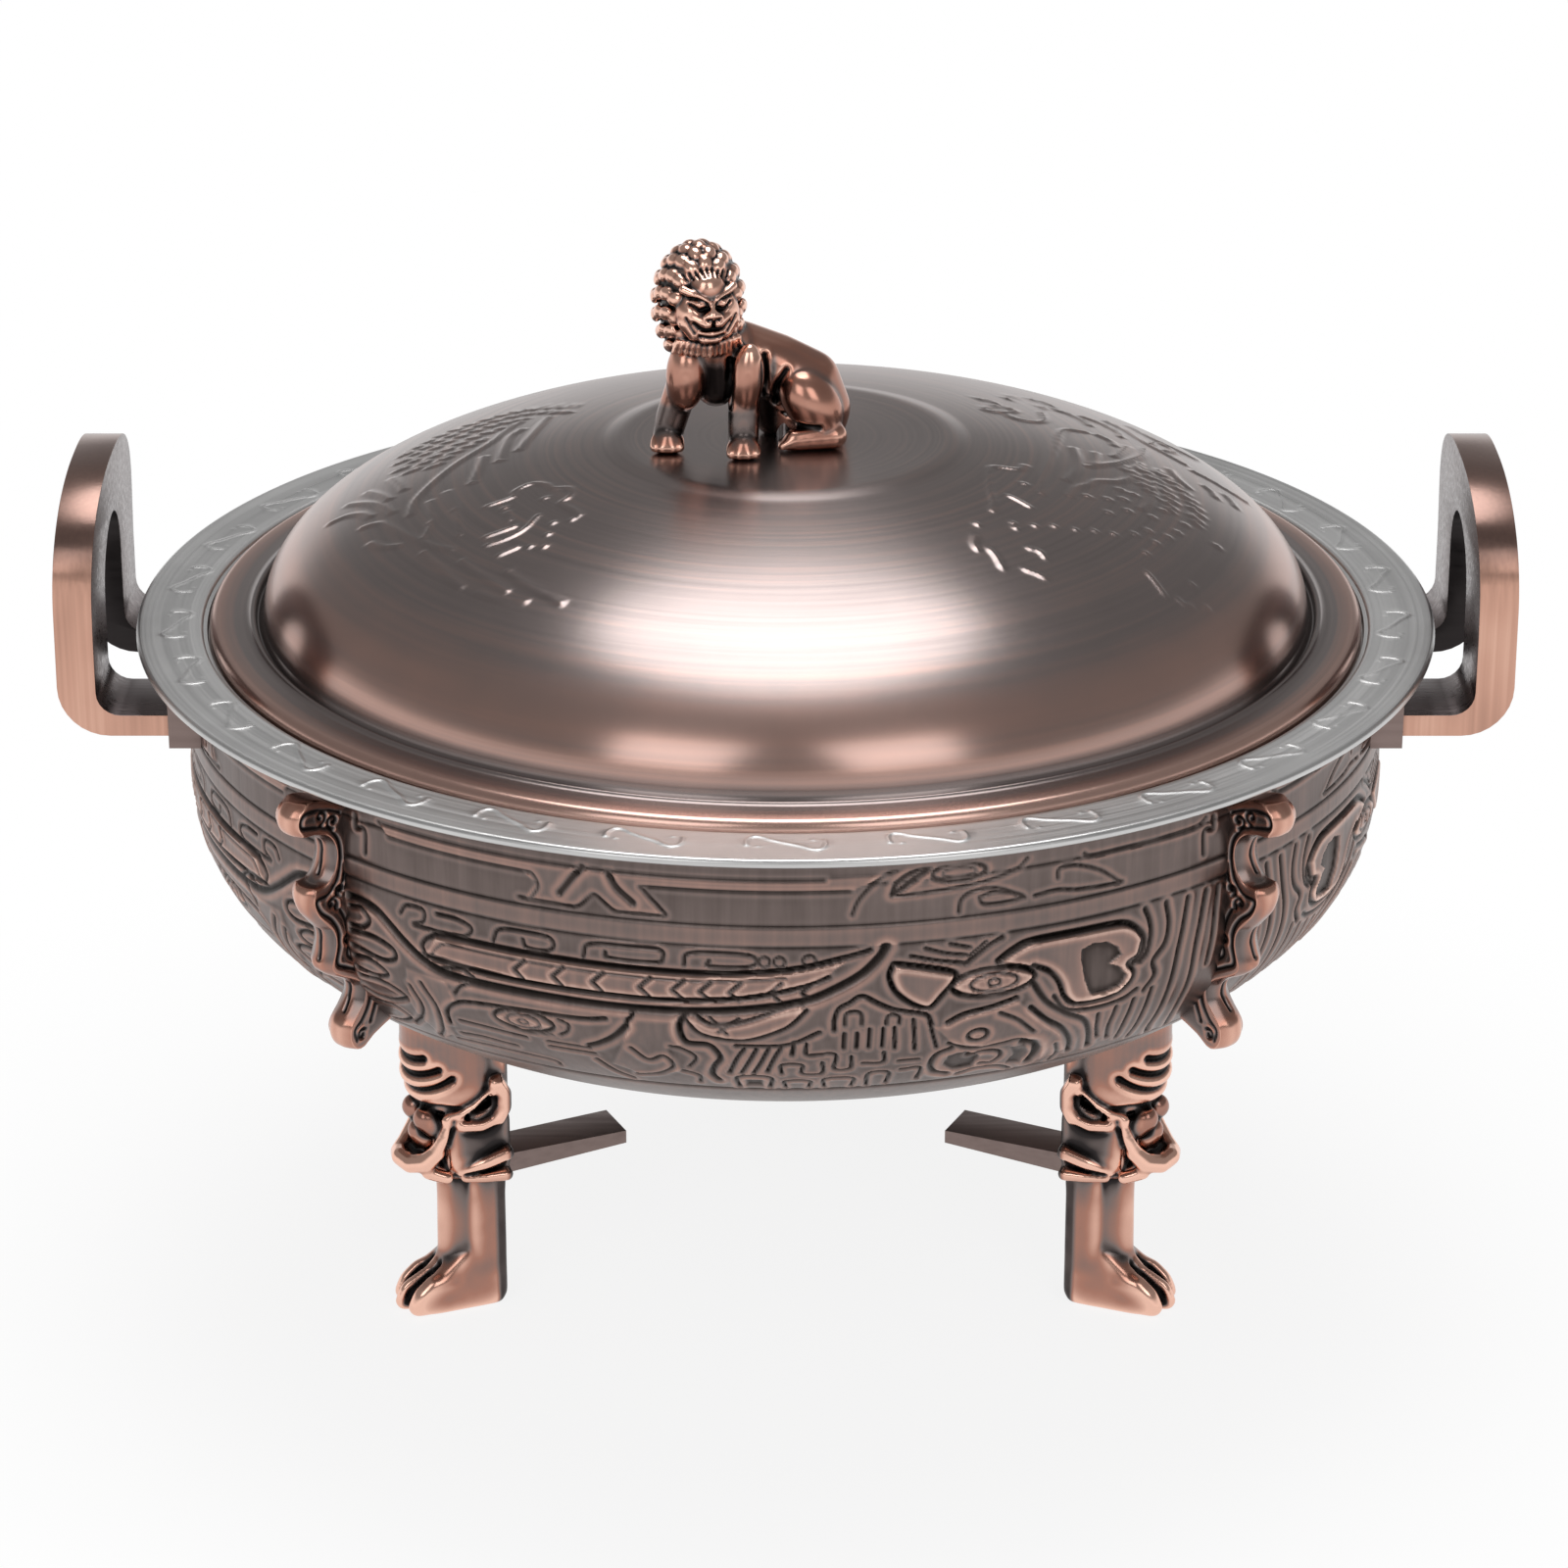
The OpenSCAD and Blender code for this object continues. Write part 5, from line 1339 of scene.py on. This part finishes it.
def face_strokes():
    """Width, depth and path of the lines of the face, in its own plane"""
    strokes = [(0.45, 0.8, "-4.8,-3.0 -3.6,-4.1 -2,-4.7 0,-4.5 2,-4.7 3.6,-4.1 4.8,-3.0"),
               (0.35, 0.7, "0,-2.6 0,-4.4"), (0.4, 0.6, "-3,-6.5 0,-7 3,-6.5")]
    for side in (-1, 1):
        strokes += [(0.45, 1.0, f"{side * 1.2},1.0 {side * 3.2},0.4 {side * 5.6},2.2"),
                    (0.45, 0.9, f"{side * 1.3},1.9 {side * 3.2},3.1 {side * 5.4},3.4"),
                    (0.35, 0.7, f"{side * 0.7},-2.0 {side * 1.7},-2.0"),
                    (0.4, 0.45, f"{side * 6.6},-1.6 {side * 5.6},-3.6 {side * 4.4},-5.6")]
    for i in range(-4, 5):
        strokes.append((0.35, 0.55, f"{i * 1.3},{9.0 - abs(i) * 0.3} {i * 1.5},{10.6 - abs(i) * 0.4}"))
    return strokes


def carve_face(mesh, base, right, up):
    p, n = places(mesh), normals(mesh)
    x, y = (p - base) @ right, (p - base) @ up
    ahead = n @ np.cross(up, right)
    m = np.nonzero((np.abs(x) < 9) & (y > -9) & (y < 12) & (ahead > 0.1) & (p[:, 1] < -9))[0]
    cut = np.zeros(len(m))
    for width, depth, text in face_strokes():
        d = away(x[m], y[m], curved(points(text)))
        cut = np.maximum(cut, depth * np.exp(-(d / width) ** 2))
    p[m] -= n[m] * cut[:, None]
    move(mesh, softened(mesh, p, 1))


def tone_lion(mesh):
    """Painted shade on the chest, the belly and the hollows between the legs, and a mane of strong contrast"""
    tone_from_form(mesh, 1.1, 0.55, 0.58, 6, 60)
    tone = tone_of(mesh)
    x, y, z = ((places(mesh) - (0, 0, BOSS_Z)) / LION_SCALE).T
    # Painted shade under the chest, on the belly and low between the fore legs
    chest = ramp(x, -21, -19) * (1 - ramp(x, -15, -13)) * (1 - ramp(z, 22, 26)) * ramp(z, 8, 11)
    belly_painted_shade = ramp(x, -7.4, -6.4) * (1 - ramp(x, -3.4, -1.6)) * (1 - ramp(z, 21, 27))
    legs = (1 - ramp(x, -9, -6)) * (1 - ramp(z, 11, 14)) * ramp(z, 3, 5)
    # The mane's tone, its patina and painted shade alike, is given stronger contrast
    mane = ramp(z, 24, 28)
    tone += mane * (0.7 * (tone - 0.52))
    tone -= 0.4 * chest * ramp(-y, 4, 8) + 0.35 * belly_painted_shade + 0.24 * legs
    set_tone(mesh, tone)


def make_lion():
    body = bmesh.new()
    lion_body(body)
    trunk = fused(body, 0.42, 22)
    bm = bmesh.new()
    bm.from_mesh(trunk)
    bpy.data.meshes.remove(trunk)
    base, right, up = lion_head(bm)
    mesh = fused(bm, 0.355, 2)
    carve_face(mesh, base, right, up)
    # Body: haunch, belly and leg lines
    for path in ("-5.4,25 -5.4,19 -6.2,12", "-2.6,10.5 -2.4,16.5 0.2,21.0", "-14.2,25 -14.2,20 -14.6,13",
                 "-2.0,6.8 3,6.8 8.6,6.6"):
        carve(mesh, curved(points(path)), (0, -1, 0), 0.7, 0.9, 0.1, lambda q: q[:, 1] < -3)
    p = places(mesh) * LION_SCALE + (0, 0, BOSS_Z)
    p[:, 2] = np.maximum(p[:, 2], BOSS_Z)
    move(mesh, p)
    tone_lion(mesh)
    finished("lion_cast", mesh, "lid", cast_copper, ("lion_finial",))


make_lion()

# Handles, brackets and burner arms: bent and cut plate with rounded edges


def plate_piece(node_name, rounding, material):
    """A packed plate of the stand with its sharp edges rounded"""
    bm = merged_copy(node_name)
    edges = [e for e in bm.edges if e.is_manifold and e.calc_face_angle(0) > math.radians(38)]
    bmesh.ops.bevel(bm, geom=edges, offset=rounding, segments=3, profile=0.5, affect="EDGES", material=-1,
                    clamp_overlap=True)
    return finished(f"{node_name}_plate", mesh_of(bm), "stand", material, (node_name,), 35)


handle_copper, handle_tree, handle_shader = new_material("handle_satin")
handle_streak = brushed_noise(handle_tree, (900, 900, 14))
handle_cloud = brushed_noise(handle_tree, (40, 40, 25))
handle_mix = math_node(handle_tree, "ADD", math_node(handle_tree, "MULTIPLY", handle_cloud, 0.7),
                       math_node(handle_tree, "MULTIPLY", handle_streak, 0.35), True)
handle_hue = ramp_node(handle_tree, handle_mix, [(0.2, (0.36, 0.2, 0.15)), (0.55, (0.6, 0.34, 0.255)),
                                                (0.85, (0.82, 0.52, 0.4))])
# The edge turns dark over the top of the bow: a painted reflection of the darker light above, where the edge
# faces up
handle_rise = node(handle_tree, "ShaderNodeSeparateXYZ", in0=piece_place(handle_tree)).outputs[2]
handle_top_painted_reflection = node(handle_tree, "ShaderNodeMapRange", interpolation_type="SMOOTHSTEP", in0=handle_rise,
                   in1=0.204, in2=0.214, in3=0.0, in4=0.72).outputs[0]
handle_tree.links.new(mixed(handle_tree, handle_top_painted_reflection, handle_hue, (0.13, 0.095, 0.09)),
                      handle_shader.inputs["Base Color"])
handle_shader.inputs["Metallic"].default_value = 1.0
handle_shader.inputs["Roughness"].default_value = 0.3
# Brushed upright, which spreads the lights sideways
handle_shader.inputs["Anisotropic"].default_value = 0.7
handle_tree.links.new(node(handle_tree, "ShaderNodeCombineXYZ", in0=1.0, in1=0.0, in2=0.0).outputs[0],
                      handle_shader.inputs["Tangent"])
bump(handle_tree, handle_shader, handle_streak, 0.3, 0.00006)

handle_patina = metal("handle_patina", (0.2, 0.165, 0.165), 0.3, (30, 700, 700), 0.00005)
# Near black for the walls of the handle's slot: painted shade
slot_black = metal("slot_black", (0.03, 0.026, 0.026), 0.35, (30, 700, 700), 0.00005)
arm_copper = metal("arm_patina", (0.24, 0.18, 0.165), 0.42, (30, 700, 700), 0.0001)
for side in HANDLE_SIDES:
    handle = plate_piece(f"handle_{side}", 1.3, handle_copper)
    # Only the outer cut edge is rubbed bright. The flat faces keep the dark patina, and the walls of the slot
    # are painted near black as the shade inside it.
    handle.data.materials.append(handle_patina)
    handle.data.materials.append(slot_black)
    for face in handle.data.polygons:
        middle, n = face.center / MM, face.normal
        outer = (abs(middle.y) > 30 or middle.z > 208) and (abs(n.z) < 0.7 or middle.z > 175)
        in_slot = abs(middle.y) < 20 and 172 < middle.z < 208
        if abs(n.x) < 0.75 and outer:
            face.material_index = 0
        elif abs(n.x) < 0.6 and in_slot:
            face.material_index = 2
        else:
            face.material_index = 1
    plate_piece(f"handle_bracket_{side}", 0.5, arm_copper)
for side in LEG_PLACES:
    plate_piece(f"burner_arm_{side}", 1.0, arm_copper)
for name in ("finial_screw", "finial_washer", "fin_screws", "handle_screws", "leg_screws", "leg_washers",
             "arm_studs"):
    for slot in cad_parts[name].material_slots:
        slot.material = screw_zinc

# Floor, backdrop and light


def white_far_off(name, near, far):
    """A pale matt floor that turns to plain white with the distance, where it is looked at"""
    material, tree, shader = new_material(name)
    shader.inputs["Base Color"].default_value = (0.86, 0.86, 0.86, 1)
    shader.inputs["Roughness"].default_value = 0.9
    shader.inputs["Specular IOR Level"].default_value = 0.0
    path = node(tree, "ShaderNodeLightPath")
    mirrored = math_node(tree, "MAXIMUM", path.outputs["Is Glossy Ray"], path.outputs["Is Transmission Ray"])
    seen = math_node(tree, "MAXIMUM", path.outputs["Is Camera Ray"], mirrored)
    reach = node(tree, "ShaderNodeVectorMath", operation="LENGTH", in0=piece_place(tree)).outputs["Value"]
    fade = node(tree, "ShaderNodeMapRange", interpolation_type="SMOOTHSTEP", in0=reach, in1=near, in2=far,
                in3=0.86, in4=1.0).outputs[0]
    glow = node(tree, "ShaderNodeEmission", in0=(1, 1, 1, 1), in1=1.0)
    share = math_node(tree, "MULTIPLY", fade, seen)
    mix = node(tree, "ShaderNodeMixShader", in0=share, in1=shader.outputs[0], in2=glow.outputs[0])
    tree.links.new(mix.outputs[0], tree.nodes["Material Output"].inputs["Surface"])
    return material


floor_bm = bmesh.new()
bmesh.ops.create_circle(floor_bm, cap_ends=True, segments=64, radius=6.0)
floor_mesh = mesh_of(floor_bm, "floor")
floor = bpy.data.objects.new("floor", floor_mesh)
bpy.context.collection.objects.link(floor)
floor_mesh.materials.append(white_far_off("floor_white", 0.12, 0.32))

world = bpy.data.worlds.new("studio")
bpy.context.scene.world = world
world.use_nodes = True
sky = world.node_tree
sky.nodes.clear()
way = node(sky, "ShaderNodeSeparateXYZ", in0=node(sky, "ShaderNodeTexCoord").outputs["Generated"])
height = node(sky, "ShaderNodeMapRange", interpolation_type="SMOOTHSTEP", in0=way.outputs[2], in1=0.05,
              in2=0.3, in3=1.0, in4=0.3).outputs[0]
seen = node(sky, "ShaderNodeLightPath").outputs["Is Camera Ray"]
strength = node(sky, "ShaderNodeMix", data_type="FLOAT", in0=seen, in2=height, in3=1.0).outputs[0]
background = node(sky, "ShaderNodeBackground", in0=(1, 1, 1, 1), in1=strength)
node(sky, "ShaderNodeOutputWorld", in0=background.outputs[0])


def softbox(name, at, aim, width, depth, radiance, shape="RECTANGLE"):
    light = bpy.data.lights.new(name, "AREA")
    light.shape = shape
    light.size, light.size_y = width, depth
    light.energy = radiance * math.pi * width * depth
    obj = bpy.data.objects.new(name, light)
    obj.location = at
    obj.rotation_euler = (Vector(aim) - Vector(at)).to_track_quat("-Z", "Y").to_euler()
    bpy.context.collection.objects.link(obj)


softbox("overhead", (0, 0.5, 1.6), (0, 0.43, 0), 1.0, 1.2, 3.6, "ELLIPSE")
softbox("front_left", (-0.62, -1.33, 1.15), (0, 0, 0.15), 0.72, 0.95, 1.9)
softbox("front_right", (0.62, -1.33, 1.15), (0, 0, 0.15), 0.72, 0.95, 1.9)

# Camera, solved from the photograph's ellipses

camera = bpy.data.objects.new("camera", bpy.data.cameras.new("camera"))
bpy.context.collection.objects.link(camera)
camera.data.lens = 112.8
camera.data.sensor_width = 36.0
camera.location = (-0.00042, -1.1978, 0.6376)
camera.rotation_euler = (Vector((-0.00042, 0, 0.13242)) - camera.location).to_track_quat("-Z", "Y").to_euler()
bpy.context.scene.camera = camera
bpy.context.scene.view_settings.view_transform = "Standard"
